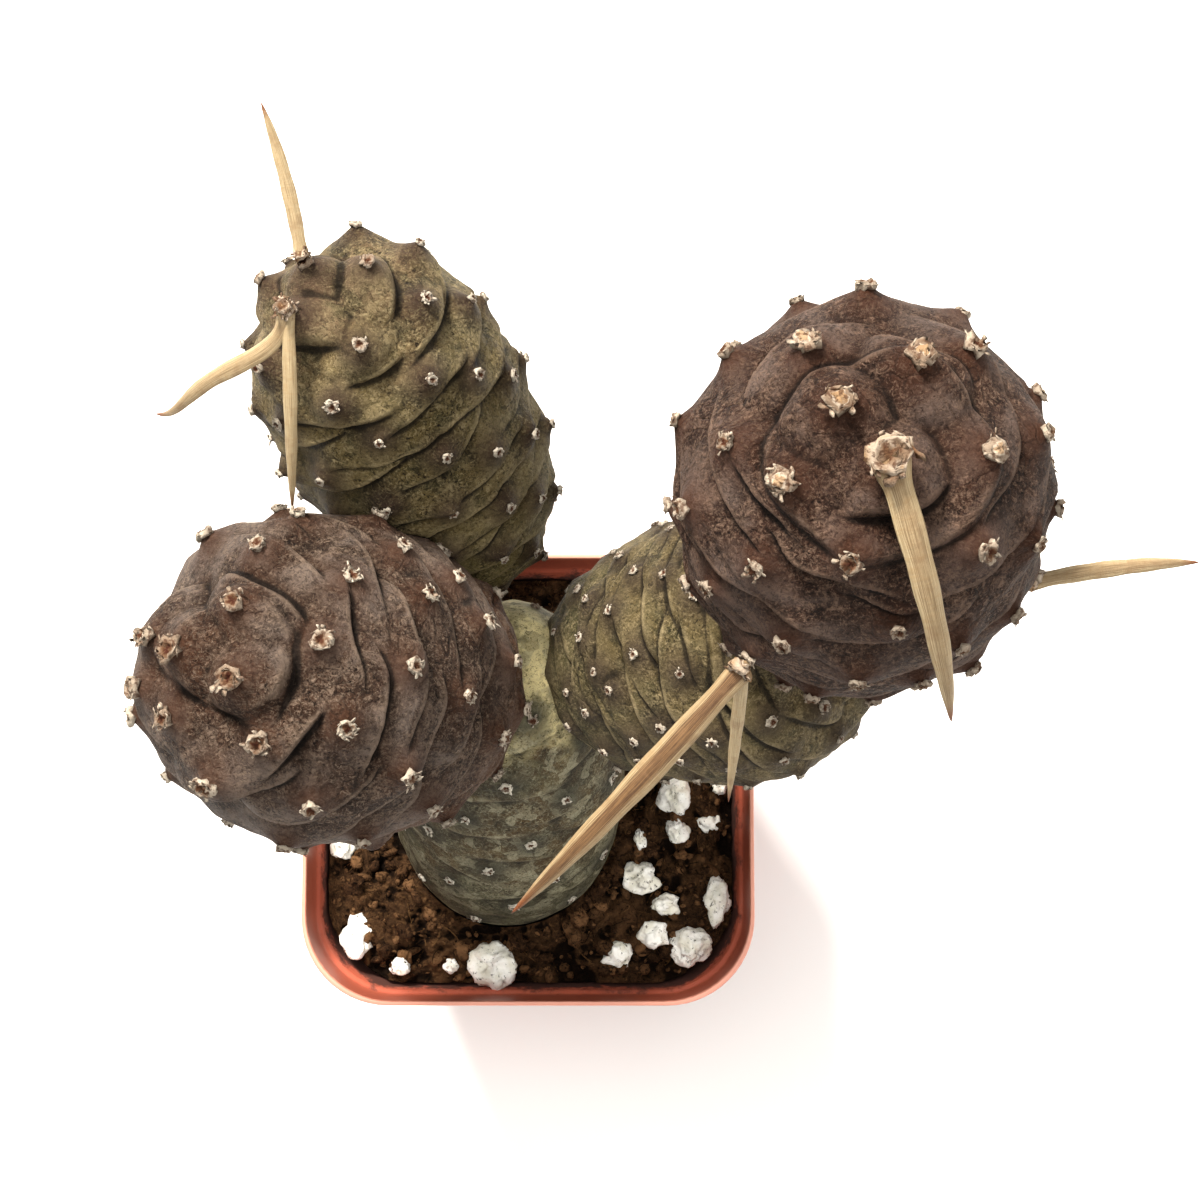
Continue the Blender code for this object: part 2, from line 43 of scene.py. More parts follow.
# Each segment: its foot and tip, its greatest radius and how far up that is, the area that each
# areole takes, where the spiral starts, its first areole's angle and the way it turns. Then how
# high its scales are, how wide they stay, how far below its areole a lip is, how vaulted they are,
# over how many areoles the scales at the tip are knuckles, how high the skin swells under an
# areole, and its rings and columns. Then the radius of its tufts low down and at its tip, how many
# at the tip keep the stub of a spine, and how pale the tufts are away from the tip. A plate is the
# arc, angle, radius and height of the raised plate at the tip. Areoles that leave the spiral have
# an arc and an angle of their own, some are left out and some are added. Lengths in mm, areas in
# square mm, angles in degrees
STEMS = {
    "stem_base": dict(
        foot=(-4.5, -15.0, 33.7), tip=(-1.2, 17.0, 103.3), radius=17.6, widest=0.4,
        area=106.9, start=1.69, angle=204.0, hand=-1, scale=0.65, wide=0.45,
        lip=0.4, vault=0.3, knuckles=1, swelling=0.3, grid=(180, 170),
        tuft=0.82, tip_tuft=0.82, knobs=0, pale=0.9,
    ),
    "stem_right_lower": dict(
        foot=(7.5, 14.0, 86.2), tip=(40.0, 16.6, 124.7), radius=17.8, widest=0.7,
        area=46.4, start=1.21, angle=32.3, hand=1, scale=2.3, wide=0.95,
        lip=0.4, vault=0.15, knuckles=3, swelling=0.4, grid=(220, 230),
        tuft=0.62, tip_tuft=0.85, knobs=0, pale=0.45,
        own={
            7: (9.9, 267.3), 12: (14.4, 238.9), 17: (14.1, 204.8), 22: (18.8, 167.2), 25: (22.1, 231.7),
            30: (21.5, 199.6), 35: (24.0, 157.2), 38: (28.5, 220.4), 43: (28.3, 188.4), 51: (35.0, 201.2),
            56: (33.1, 168.8), 67: (37.0, 236.1), 72: (42.4, 210.4), 77: (39.1, 177.2),
        },
    ),
    "stem_right_upper": dict(
        foot=(42.1, 22.0, 125.0), tip=(38.8, 32.3, 179.7), radius=20.2, widest=0.554,
        area=100.0, start=0.258, angle=154.4, hand=1, scale=3.3, wide=0.85,
        lip=0.36, vault=0.3, knuckles=1.7, swelling=0.6, grid=(260, 280),
        tuft=0.95, tip_tuft=1.6, knobs=5, pale=0.2, plate=(3.2, 279.0, 12.3, 1.1),
        own={
            0: (3.3, 170.4), 1: (5.7, 280.5), 2: (6.7, 51.1), 3: (10.7, 215.2), 5: (10.8, 127.1),
            7: (14.1, 39.8), 8: (15.6, 182.8), 11: (20.4, 227.3), 14: (23.6, 277.7), 19: (29.2, 244.1),
            22: (30.1, 296.9),
        },
    ),
    "stem_front_left": dict(
        foot=(-8.8, 10.8, 93.2), tip=(-35.0, 9.9, 144.1), radius=20.3, widest=0.566,
        area=97.0, start=0.47, angle=261.7, hand=1, scale=3.2, wide=0.7,
        lip=0.38, vault=0.4, knuckles=1.6, swelling=0.6, grid=(260, 280),
        tuft=0.95, tip_tuft=1.6, knobs=0, pale=0.35, plate=(3.8, 30.0, 8.4, 0.9),
        own={
            0: (7.8, 224.0), 1: (8.1, 57.1), 2: (12.1, 188.4), 3: (10.9, 306.5), 6: (14.3, 12.2),
            7: (10.3, 157.6), 9: (15.3, 73.5), 11: (18.3, 334.6), 13: (13.8, 261.3), 14: (20.4, 36.6),
            16: (21.2, 297.3), 19: (25.0, 0.6), 22: (31.3, 46.7), 24: (28.7, 324.6), 27: (30.7, 26.2),
            32: (36.3, 352.6), 45: (47.5, 339.0), 48: (40.6, 17.8), 61: (48.7, 6.6),
        },
        without=[4, 5, 8, 40], more=[(3.2, 146.0), (5.0, 343.8)],
    ),
    "stem_back_left": dict(
        foot=(-3.8, 30.6, 89.2), tip=(-23.0, 57.0, 142.5), radius=15.8, widest=0.569,
        area=70.7, start=0.134, angle=110.9, hand=1, scale=2.8, wide=0.7,
        lip=0.4, vault=0.5, knuckles=2.8, swelling=0.7, grid=(240, 240),
        tuft=0.66, tip_tuft=1.05, knobs=0, pale=0.5, plate=(5.8, 295.3, 8.6, 0.5),
        own={
            0: (0.3, 150.8), 1: (5.3, 254.9), 2: (6.1, 1.8), 4: (10.6, 302.1), 6: (12.7, 226.5),
            9: (15.9, 273.3), 10: (13.5, 37.0), 12: (18.8, 321.0), 17: (22.5, 285.3), 22: (27.0, 250.9),
            25: (28.8, 306.9), 28: (31.0, 359.0), 30: (33.1, 273.3), 33: (34.5, 327.0), 38: (37.9, 296.9),
            46: (43.9, 319.0), 59: (51.7, 304.5),
        },
    ),
}

# A scale, as shares of the spacing of the areoles: how much its lip curves back at the sides, how
# much one scale's lip, lean, width and height differ from another's, over how much it fades at its
# sides and how far it reaches
LIP_CURVE = 0.12
OWN_LIP = 0.09
OWN_LEAN = 0.22
OWN_WIDTH = 0.3
OWN_DEPTH = 0.09
SCALE_FADE = 0.9
SCALE_REACH = 2.4
# The powers of its climb and of its drop past the lip, how long the drop is and its limit, how
# sharply the highest scale wins, and over how many areoles its vault fades
SCALE_RISE = 1.35
SCALE_DROP = 1.6
LIP_FALL = 0.95 * MM
DROP_LIMIT = 3
SCALE_SHARPNESS = 15.0
VAULT_FADE = 16.0
# The share of a scale's height under the smooth outline, the deepest dip and the level out of reach
RELIEF_BASE = 0.85
RELIEF_DIP = -0.6
OUT_OF_REACH = 4 * RELIEF_DIP
# The swelling that carries the areole and the round knuckle at a young one: radius and power, and
# how far below the areole the knuckle's middle is
SWELLING_SIZE = 0.24
SWELLING_POWER = 1.4
KNUCKLE_SIZE = 0.7
KNUCKLE_POWER = 1.6
KNUCKLE_BELOW = 0.12
# The relief fades out in the potting mix between these heights
RELIEF_LOW = 51.0 * MM
RELIEF_HIGH = 55.0 * MM
# Wrinkles: their size and height. The scales' borders wander over a size by a share
WRINKLES = [(4.5 * MM, 0.22 * MM), (1.7 * MM, 0.1 * MM)]
WARP_SIZE = 6.0 * MM
WARP = 0.11
# The tip's plate: how uneven its edge is, over what size, and how far it takes to drop
PLATE_UNEVEN = 0.12
PLATE_WARP_SIZE = 1.5 * WARP_SIZE
PLATE_FALL = 1.3 * MM
POINTS_AT_A_TIME = 6000
# Where segments meet: how near a segment's middle, in its radii, later skins are moved clear of it,
# and the gap that is left. Farther out they aren't, so the feet of two reach into the base's tip
CLOSE_BY = 2.2
JOINT_GAP = 0.2 * MM
# The marks: the radius of the tinted skin round an areole, in how many steps the skin is averaged
# for the painted highlight on each scale's lip and the painted shade in its creases and the range of
# heights that they cover, and the steps for high skin, whose hollows also get painted shade
HALO_RADIUS = 2.7 * MM
RIDGE_BLUR = 5
RIDGE_RANGE = 0.5 * MM
HIGH_BLUR = 45
# Tufts start this far clear of other segments' smooth outlines, and no lower than this
TUFT_CLEAR = 0.8 * MM
TUFT_LOWEST = 53.0 * MM


def colour(red, green, blue):
    """A linear colour from screen values of 0 to 255."""
    share = np.array([red, green, blue]) / 255
    line = np.where(share <= 0.04045, share / 12.92, ((share + 0.055) / 1.055) ** 2.4)
    return (*line.tolist(), 1.0)


def hashed(cells, seed):
    """A repeatable number from 0 to 1 for each whole-numbered cell."""
    cells = cells.astype(np.int64)
    mixed = cells[..., 0] * 73856093 ^ cells[..., 1] * 19349663 ^ cells[..., 2] * 83492791 ^ seed * 7919
    mixed = (mixed ^ (mixed >> 13)) * 1274126177 & 0x7FFFFFFF
    mixed = (mixed ^ (mixed >> 16)) * 668265263 & 0x7FFFFFFF
    return (mixed >> 8 & 0xFFFF) / 65535


def cloud(points, size, seed=0):
    """Smooth noise from -1 to 1: a hashed value at each corner of a lattice, blended by 3tt - 2ttt."""
    place = points / size + seed * 17.3
    cell = np.floor(place)
    part = place - cell
    part = part * part * (3 - 2 * part)
    total = 0
    for corner in range(8):
        step = np.array([corner & 1, corner >> 1 & 1, corner >> 2])
        total = total + np.prod(np.where(step, part, 1 - part), -1) * hashed(cell + step, seed)
    return total * 2 - 1


def around(count):
    """Angles once round, from zero."""
    return np.linspace(0, 2 * math.pi, count, endpoint=False)


def unit(vectors):
    """Vectors of the same directions, each of length one."""
    return vectors / np.linalg.norm(vectors, axis=-1, keepdims=True)


def at_height(flat, height):
    """Flat places as points at a height, or each at its own."""
    return np.concatenate([flat, np.broadcast_to(height, flat.shape[:-1])[..., None]], -1)


def in_point_order(values):
    """Values on rings in the order of a skin's points: the first pole, the rings between, the last pole."""
    skins, tail = values.shape[0], values.shape[3:]
    between = values[:, 1:-1].reshape(skins, -1, *tail)
    return np.concatenate([values[:, :1, 0], between, values[:, -1:, 0]], 1).reshape(-1, *tail)


def ring_faces(skins, rows, columns):
    """Faces that join each ring to the next, with a fan of triangles at each pole, for every skin."""
    first = np.arange(columns)
    after = (first + 1) % columns
    rings = rows - 2
    size = rings * columns + 2
    row = 1 + np.arange(rings - 1)[:, None] * columns
    quads = np.stack([row + first, row + after, row + columns + after, row + columns + first], -1)
    last = 1 + (rings - 1) * columns
    top = np.stack([0 * first, 1 + after, 1 + first], -1)
    end = np.stack([0 * first + size - 1, last + first, last + after], -1)
    start = np.arange(skins)[:, None, None] * size
    quads = (quads.reshape(1, -1, 4) + start).reshape(-1, 4)
    fans = (np.concatenate([top, end])[None] + start).reshape(-1, 3)
    return quads, fans


def six_volumes(points, quads, fans):
    """Six times the volume that a skin encloses, below nothing where its faces point inwards."""
    corners = [points[fans], points[quads[:, :3]], points[quads[:, [0, 2, 3]]]]
    return sum(np.einsum("ij,ij->", np.cross(three[:, 0], three[:, 1]), three[:, 2]) for three in corners)


def skins(name, rings, slot, nodes=(), **marks):
    """Closed skins, or one, as a piece: rings of points from pole to pole and their marks."""
    if rings.ndim == 3:
        rings, marks = rings[None], {mark: values[None] for mark, values in marks.items()}
    quads, fans = ring_faces(*rings.shape[:3])
    points = in_point_order(rings)
    if six_volumes(points - points.mean(0), quads, fans) < 0:
        quads, fans = quads[:, ::-1], fans[:, ::-1]
    mesh = bpy.data.meshes.new(name)
    mesh.from_pydata(points, [], fans.tolist() + quads.tolist())
    for mark, values in marks.items():
        flat = in_point_order(values).astype(np.float32)
        mesh.attributes.new(mark, "FLOAT", "POINT").data.foreach_set("value", flat)
    mesh.shade_smooth()
    return placed(name, mesh, nodes)


def linked(name, data):
    """A new object in the scene."""
    thing = bpy.data.objects.new(name, data)
    bpy.context.scene.collection.objects.link(thing)
    return thing


def aimed(thing, place, aim):
    """Puts a camera or a light at a place and turns it towards another."""
    thing.location = place
    thing.rotation_euler = (Vector(aim) - Vector(place)).to_track_quat("-Z", "Y").to_euler()


def placed(name, mesh, nodes):
    """Puts a mesh into the scene as a piece that stands for CAD nodes."""
    piece = linked(name, mesh)
    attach(piece, "root")
    if nodes:
        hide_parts(*nodes)
    return piece


def ends_of(stem):
    """A segment's foot, its axis and its length."""
    foot = np.array(stem["foot"]) * MM
    tip = np.array(stem["tip"]) * MM
    length = float(np.linalg.norm(tip - foot))
    return foot, (tip - foot) / length, length


def frame_of(stem):
    """A segment's own axes as rows, +Z turned the shortest way onto its axis."""
    axis = Vector(ends_of(stem)[1])
    turned = Vector((0, 0, 1)).rotation_difference(axis).to_matrix()
    return np.array(turned).T


def outline_of(stem):
    """A segment's outline from tip to foot: two quarters of superellipses that meet where it is widest."""
    length = ends_of(stem)[2]
    turn = np.linspace(0, math.pi, OUTLINE_STEPS)
    upper = turn <= math.pi / 2
    power = np.where(upper, UP_POWER, DOWN_POWER)
    rise = np.abs(np.cos(turn)) ** (2 / power)
    below = stem["widest"] * length
    height = below + np.where(upper, (length - below) * rise, -below * rise)
    radius = stem["radius"] * MM * np.abs(np.sin(turn)) ** (2 / power)
    radius[-1] = 0
    step = np.hypot(np.diff(height), np.diff(radius))
    arc = np.concatenate([[0], np.cumsum(step)])
    area = np.concatenate([[0], np.cumsum(math.pi * (radius[1:] + radius[:-1]) * step)])
    return {"height": height, "radius": radius, "arc": arc, "area": area, "middle": below}


def spots_on(outline, arc, angle):
    """Points on a smooth segment, with their outward, downward and sideways directions."""
    height = np.interp(arc, outline["arc"], outline["height"])
    radius = np.interp(arc, outline["arc"], outline["radius"])
    falls = np.interp(arc, outline["arc"], np.gradient(outline["height"], outline["arc"]))
    grows = np.interp(arc, outline["arc"], np.gradient(outline["radius"], outline["arc"]))
    size = np.hypot(falls, grows)
    falls, grows = falls / size, grows / size
    cos, sin = np.cos(angle), np.sin(angle)
    points = np.stack([radius * cos, radius * sin, height], -1)
    outward = np.stack([-falls * cos, -falls * sin, grows], -1)
    down = np.stack([grows * cos, grows * sin, falls], -1)
    side = np.stack([-sin, cos, np.zeros_like(sin)], -1)
    return points, outward, down, side


def areole_places(stem, outline):
    """The arc, angle and age of each areole: an equal area for each, a golden angle apart, apart from
    those that have places of their own or are left out. The age counts areas from the tip."""
    share = stem["area"] * MM * MM
    order = np.arange(int(outline["area"][-1] / share - stem["start"]))
    arc = np.interp((order + stem["start"]) * share, outline["area"], outline["arc"])
    angle = math.radians(stem["angle"]) + stem["hand"] * order * GOLDEN_ANGLE
    own = stem.get("own", {})
    arc[list(own)] = [place[0] * MM for place in own.values()]
    angle[list(own)] = [math.radians(place[1]) for place in own.values()]
    kept = np.setdiff1d(order, stem.get("without", []))
    more = np.array(stem.get("more", [])).reshape(-1, 2)
    arc = np.concatenate([arc[kept], more[:, 0] * MM])
    angle = np.concatenate([angle[kept], np.radians(more[:, 1])])
    age = np.maximum(np.interp(arc, outline["arc"], outline["area"]) / share - stem["start"], 0)
    return arc, angle, age


def relief(stem, outline, points):
    """How far the scales raise each point, and its distance to the nearest areole.

    Each scale climbs from the tip's side towards its lip, 1 - (distance above the lip)^1.35, drops
    past the lip within a millimetre, sinks towards its sides and is vaulted across. The youngest
    are round knuckles. The skin follows a soft greatest of all the scales, log(sum(exp(k * height)))
    / k, with a pointed swelling under each areole, wrinkles, and the plate at the tip. Every scale
    has a lip, a lean, a width and a height of its own.
    """
    arc, angle, age = areole_places(stem, outline)
    centres, _, down, side = spots_on(outline, arc, angle)
    pitch = math.sqrt(stem["area"]) * MM
    order = np.arange(len(centres))
    keys = np.stack(np.broadcast_arrays(order, np.arange(4)[:, None], 0), -1)
    own_lip, own_lean, own_width, own_depth = hashed(keys, SEED) * 2 - 1
    apart = points[:, None, :] - centres[None]
    fore = (apart * down[None]).sum(-1)
    wide = (apart * side[None]).sum(-1)
    far = np.sqrt((apart ** 2).sum(-1))
    stretch = far / (np.hypot(fore, wide) + 1e-9) / pitch
    fore = fore * stretch + WARP * cloud(points, WARP_SIZE, 1)[:, None]
    wide = wide * stretch + WARP * cloud(points, WARP_SIZE, 2)[:, None]
    above = stem["lip"] + OWN_LIP * own_lip + OWN_LEAN * own_lean * wide - LIP_CURVE * wide ** 2 - fore
    rise = 1 + OWN_DEPTH * own_depth - np.maximum(above, 0) ** SCALE_RISE
    drop = np.minimum(np.maximum(-above * pitch / LIP_FALL, 0), DROP_LIMIT) ** SCALE_DROP
    width = stem["wide"] * (1 + OWN_WIDTH * own_width)
    edge = np.maximum((np.abs(wide) - width) / SCALE_FADE, 0) ** 2
    edge = edge + stem["vault"] * np.exp(-age / VAULT_FADE) * wide ** 2
    knuckle = 1 - (((fore - KNUCKLE_BELOW) ** 2 + wide ** 2) / KNUCKLE_SIZE ** 2) ** KNUCKLE_POWER
    young = np.exp(-age / stem["knuckles"])
    shape = (rise - drop - edge) * (1 - young) + knuckle * young
    shape = np.where(far > SCALE_REACH * pitch, OUT_OF_REACH, shape)
    best = shape.max(1, keepdims=True)
    top = best[:, 0] + np.log(np.exp(SCALE_SHARPNESS * (shape - best)).sum(1)) / SCALE_SHARPNESS
    near = far.min(1)
    swell = stem["swelling"] * np.exp(-((near / pitch / SWELLING_SIZE) ** SWELLING_POWER))
    raised = stem["scale"] * MM * (np.maximum(top, RELIEF_DIP) - RELIEF_BASE + swell)
    for size, height in WRINKLES:
        raised = raised + height * cloud(points, size, 3)
    if "plate" in stem:
        raised = raised + plate_step(stem["plate"], outline, points)
    return raised, near


def plate_step(plate, outline, points):
    """How far the plate at the tip raises each point: its height within its uneven edge, dropping by
    tt(3 - 2t) outside it."""
    arc, angle, radius, height = plate
    centre = spots_on(outline, np.array([arc * MM]), np.radians([angle]))[0]
    edge = radius * MM * (1 + PLATE_UNEVEN * cloud(points, PLATE_WARP_SIZE, 4))
    share = np.clip((edge - np.linalg.norm(points - centre, axis=1)) / PLATE_FALL, 0, 1)
    return height * MM * share * share * (3 - 2 * share)


def relief_in_parts(stem, outline, points):
    """The relief of many points, worked out a few thousand at a time."""
    starts = range(0, len(points), POINTS_AT_A_TIME)
    parts = [relief(stem, outline, points[start : start + POINTS_AT_A_TIME]) for start in starts]
    return tuple(np.concatenate(part) for part in zip(*parts))


def to_world(stem, points):
    """Points from a segment's own frame to the scene."""
    return ends_of(stem)[0] + points @ frame_of(stem)


def seen_from_middle(stem, places):
    """For places in the scene: which way and how far they lie from the middle of a segment's widest
    ring, and the arc and angle of the skin that way."""
    outline = outline_of(stem)
    local = (places - ends_of(stem)[0]) @ frame_of(stem).T
    local[:, 2] -= outline["middle"]
    angle = np.arctan2(local[:, 1], local[:, 0])
    slope = np.arctan2(np.hypot(local[:, 0], local[:, 1]), local[:, 2])
    slopes = np.arctan2(outline["radius"], outline["height"] - outline["middle"])
    return local, np.interp(slope, slopes, outline["arc"]), angle


def clear_of(name, places, gap):
    """Moves the places near a segment's middle that lie inside it out to its skin and a gap more."""
    stem = STEMS[name]
    outline = outline_of(stem)
    local, arc, angle = seen_from_middle(stem, places)
    far = np.linalg.norm(local, axis=1)
    close = np.flatnonzero(far < stem["radius"] * MM * CLOSE_BY)
    if len(close) == 0:
        return places
    points, outward, _, _ = spots_on(outline, arc[close], angle[close])
    raised, _ = relief_in_parts(stem, outline, points)
    points = points + outward * (raised + gap)[:, None]
    points[:, 2] -= outline["middle"]
    reach = np.linalg.norm(points, axis=1)
    inside = close[reach > far[close]]
    push = (reach / far[close])[reach > far[close]]
    moved = places.copy()
    middle = to_world(stem, np.array([[0, 0, outline["middle"]]]))
    moved[inside] = middle + (places[inside] - middle) * push[:, None]
    return moved


def blurred(field, steps):
    """A field on rings, averaged with its neighbours along and round the segment."""
    for _ in range(steps):
        field = (np.roll(field, 1, 1) + np.roll(field, -1, 1) + field) / 3
        padded = np.pad(field, ((1, 1), (0, 0)), mode="edge")
        field = (padded[2:] + padded[:-2] + field) / 3
    return field


def make_stem(name, earlier):
    """A segment's skin: rings laid along its outline, raised by its scales and moved clear of earlier
    skins near their middles."""
    stem = STEMS[name]
    outline = outline_of(stem)
    rows, columns = stem["grid"]
    arc = np.linspace(0, outline["arc"][-1], rows)[:, None] + np.zeros(columns)
    angle = around(columns) + np.zeros((rows, 1))
    points, outward, _, _ = spots_on(outline, arc.ravel(), angle.ravel())
    raised, near = relief_in_parts(stem, outline, points)
    high = to_world(stem, points)[:, 2]
    raised = raised * np.clip((high - RELIEF_LOW) / (RELIEF_HIGH - RELIEF_LOW), 0, 1)
    places = to_world(stem, points + outward * raised[:, None])
    for other in earlier:
        places = clear_of(other, places, JOINT_GAP)
    field = raised.reshape(rows, columns)
    return skins(
        f"skin_{name[5:]}", places.reshape(rows, columns, 3), "stem", [name],
        along=1 - arc / outline["arc"][-1],
        # The ridge and high marks tell the material where to paint the highlight on each scale's lip and
        # the shade in the creases
        ridge=np.clip(0.5 + (field - blurred(field, RIDGE_BLUR)) / RIDGE_RANGE, 0, 1),
        high=np.clip(0.5 + (field - blurred(field, HIGH_BLUR)) / (stem["scale"] * MM), 0, 1),
        halo=np.exp(-((near.reshape(rows, columns) / HALO_RADIUS) ** 2)),
    )


def near_stem(stem, places, margin):
    """Which places are inside a segment or within a margin of it."""
    local, arc, angle = seen_from_middle(stem, places)
    outline = outline_of(stem)
    points, _, _, _ = spots_on(outline, arc, angle)
    points[:, 2] -= outline["middle"]
    return np.linalg.norm(local, axis=1) < np.linalg.norm(points, axis=1) + margin


def areoles_of(name):
    """A segment's areoles: where each one is, its outward, downward and sideways directions, and
    which ones are free of the potting mix and the other segments."""
    stem = STEMS[name]
    outline = outline_of(stem)
    arc, angle, _ = areole_places(stem, outline)
    points, outward, down, side = spots_on(outline, arc, angle)
    raised, _ = relief(stem, outline, points)
    places = to_world(stem, points + outward * raised[:, None])
    free = places[:, 2] > TUFT_LOWEST
    for other, shape in STEMS.items():
        if other != name:
            free &= ~near_stem(shape, places, TUFT_CLEAR)
    turned = frame_of(stem)
    return places, outward @ turned, down @ turned, side @ turned, free


# A tuft's cushion from its middle outwards: the radii and heights of its rings and how much of a
# stub each ring carries, as shares of the tuft's radius
CUSHION_RADII = [0, 0.2, 0.42, 0.62, 0.8, 0.95, 0.9, 0]
CUSHION_HEIGHTS = [0.12, 0.14, 0.2, 0.3, 0.3, 0.05, -0.35, -0.5]
CUSHION_KNOB = [1.0, 1.0, 0.75, 0.1, 0, 0, 0, 0]
CUSHION_COLUMNS = 12
# How uneven a cushion is, how far apart in the noise two of them are, the sizes of its noise
# outwards and in height, and a stub's height and tone
CUSHION_UNEVEN = 0.42
CUSHION_APART = 9.1
CUSHION_WAVE = 0.45
CUSHION_RIPPLE = 0.3
KNOB_HEIGHT = 0.55
KNOB_TONE = 2.2
# A cushion's tone: where it starts to rise, over how much, its greatest and its unevenness
TONE_START = 0.1
TONE_RISE = 0.75
TONE_LIMIT = 1.15
TONE_UNEVEN = 0.5
# How much tufts differ in size, and over how many areoles they shrink and turn pale from the tip
TUFT_SPREAD = 0.16
TUFT_AGE = 7
PALE_AGE = 10
# How many flakes a tuft has, and where each of a flake's rings is and how wide, as shares
FLAKES = 15
FLAKE_PLACES = [0, 0.12, 0.5, 0.9, 1]
FLAKE_WIDTHS = [0, 0.85, 1, 0.8, 0]
# Ranges for each: how far round it is moved, the size of its tuft's flakes, its reach and height,
# its width, where it starts, its twist, how torn it is and its tone. Lengths in radii of the tuft
FLAKE_SHIFT = (-0.9, 0.9)
FLAKE_SIZE = (0.7, 1.2)
FLAKE_REACH = (-0.1, 0.6)
FLAKE_HEIGHT = (0.1, 0.65)
FLAKE_WIDTH = (0.16, 0.44)
FLAKE_START = (0.45, 0.95)
FLAKE_TWIST = (-0.6, 0.6)
FLAKE_TORN = (0.55, 1.35)
FLAKE_TONE = (-0.35, 0.25)
# The share of flakes that are longer and how much, a flake's thickness as a share of its width,
# and how far over the skin it starts
LONG_SHARE = 0.25
LONG_SIZE = 1.5
FLAKE_THIN = 0.12
FLAKE_OVER = 0.12
# The power by which it curls outwards, how much it arches, and its tone at its root and how much
# that rises to its tip
FLAKE_CURL = 1.6
FLAKE_ARCH = 0.5
FLAKE_DARK = 0.85
FLAKE_PALER = 0.5


def tuft_sizes(stem, age):
    """The radius of each tuft: larger on the areoles at the tip."""
    spread = 1 + TUFT_SPREAD * cloud(np.stack([age, age * 0, age * 0], -1) + 0.5, 0.9, 5)
    return (stem["tuft"] + (stem["tip_tuft"] - stem["tuft"]) * np.exp(-age / TUFT_AGE)) * MM * spread


def cushions(places, ways, sizes, knobs):
    """A low woolly cushion with a shallow pit for each areole: a profile turned about its outward
    direction, made uneven, with the stub of a fallen spine in the pit where it has a knob."""
    outward, down, side = (way[:, None, None] for way in ways)
    radii = np.array(CUSHION_RADII)[None, :, None]
    stub = np.array(CUSHION_KNOB)[None, :, None] * knobs[:, None, None]
    turn = around(CUSHION_COLUMNS)[None, None]
    number = np.arange(len(places))[:, None, None]
    key = [number * CUSHION_APART + np.cos(turn), np.sin(turn) + radii, radii * 2]
    key = np.stack(np.broadcast_arrays(*key), -1)
    uneven = 1 + CUSHION_UNEVEN * cloud(key, CUSHION_WAVE, 6) * (radii > 0)
    lift = np.array(CUSHION_HEIGHTS)[None, :, None] + KNOB_HEIGHT * stub
    lift = lift + CUSHION_UNEVEN * cloud(key, CUSHION_RIPPLE, 7) * (radii > 0)
    across, along = radii * uneven * np.cos(turn), radii * uneven * np.sin(turn)
    local = across[..., None] * side + along[..., None] * down + lift[..., None] * outward
    rings = places[:, None, None] + local * sizes[:, None, None, None]
    tone = np.clip((radii - TONE_START) / TONE_RISE, 0, TONE_LIMIT) * (1 - stub) + KNOB_TONE * stub
    return rings, tone + TONE_UNEVEN * cloud(key, CUSHION_RIPPLE, 8) + np.zeros(rings.shape[:3])


def flakes(places, ways, sizes, rng):
    """The torn scales of each tuft: thin pointed slips that rise round the pit and curl outwards."""
    outward, down, side = ways
    count, share = len(places), np.array(FLAKE_PLACES)
    each = (count, FLAKES)
    turn = (np.arange(FLAKES) + rng.uniform(*FLAKE_SHIFT, each)) / FLAKES * 2 * math.pi
    large = rng.uniform(*FLAKE_SIZE, (count, 1)) * np.where(rng.random(each) < LONG_SHARE, LONG_SIZE, 1)
    reach, height = (rng.uniform(*ends, each) * large for ends in (FLAKE_REACH, FLAKE_HEIGHT))
    width, start, twist = (rng.uniform(*ends, each) for ends in (FLAKE_WIDTH, FLAKE_START, FLAKE_TWIST))
    torn = np.array(FLAKE_WIDTHS) * rng.uniform(*FLAKE_TORN, (*each, len(share)))
    out = np.cos(turn)[..., None] * side[:, None] + np.sin(turn)[..., None] * down[:, None]
    over = -np.sin(turn)[..., None] * side[:, None] + np.cos(turn)[..., None] * down[:, None]
    path_out = start[..., None] + reach[..., None] * share ** FLAKE_CURL
    path_up = FLAKE_OVER + height[..., None] * (share - FLAKE_ARCH * share * share)
    path_over = twist[..., None] * share
    path = path_out[..., None] * out[:, :, None] + path_over[..., None] * over[:, :, None]
    path = path + path_up[..., None] * outward[:, None, None]
    half = width[..., None] * torn
    corner = np.array([0, 2, 4]) / 3 * math.pi
    broad = half[..., None] * np.cos(corner)
    thin = FLAKE_THIN * half[..., None] * np.sin(corner)
    ring = path[..., None, :] + broad[..., None] * over[:, :, None, None]
    ring = ring + thin[..., None] * outward[:, None, None, None]
    rings = places[:, None, None, None] + ring * sizes[:, None, None, None, None]
    rings = rings.reshape(count * FLAKES, len(share), 3, 3)
    tone = np.broadcast_to(FLAKE_DARK + FLAKE_PALER * share[None, :, None], rings.shape[:3])
    return rings, tone + rng.uniform(*FLAKE_TONE, (count * FLAKES, 1, 1))


def make_tufts(name, rng):
    """The woolly tufts of a segment, as a piece of cushions and a piece of torn scales."""
    stem = STEMS[name]
    places, outward, down, side, free = areoles_of(name)
    age = areole_places(stem, outline_of(stem))[2]
    sizes = tuft_sizes(stem, age)[free]
    ways = outward[free], down[free], side[free]
    knobs = np.where(age < stem["knobs"], 1.0, 0.0)[free]
    pale = stem["pale"] * np.clip((age[free] + 2) / PALE_AGE, 0, 1)[:, None, None]
    rings, tone = cushions(places[free], ways, sizes, knobs)
    wool = skins(f"wool_{name[5:]}", rings, "stem", tone=tone, pale=tone * 0 + pale)
    rings, tone = flakes(places[free], ways, sizes, rng)
    pale = np.repeat(pale, FLAKES, 0)
    frays = skins(f"frays_{name[5:]}", rings, "stem", tone=tone, pale=tone * 0 + pale)
    return [wool, frays]


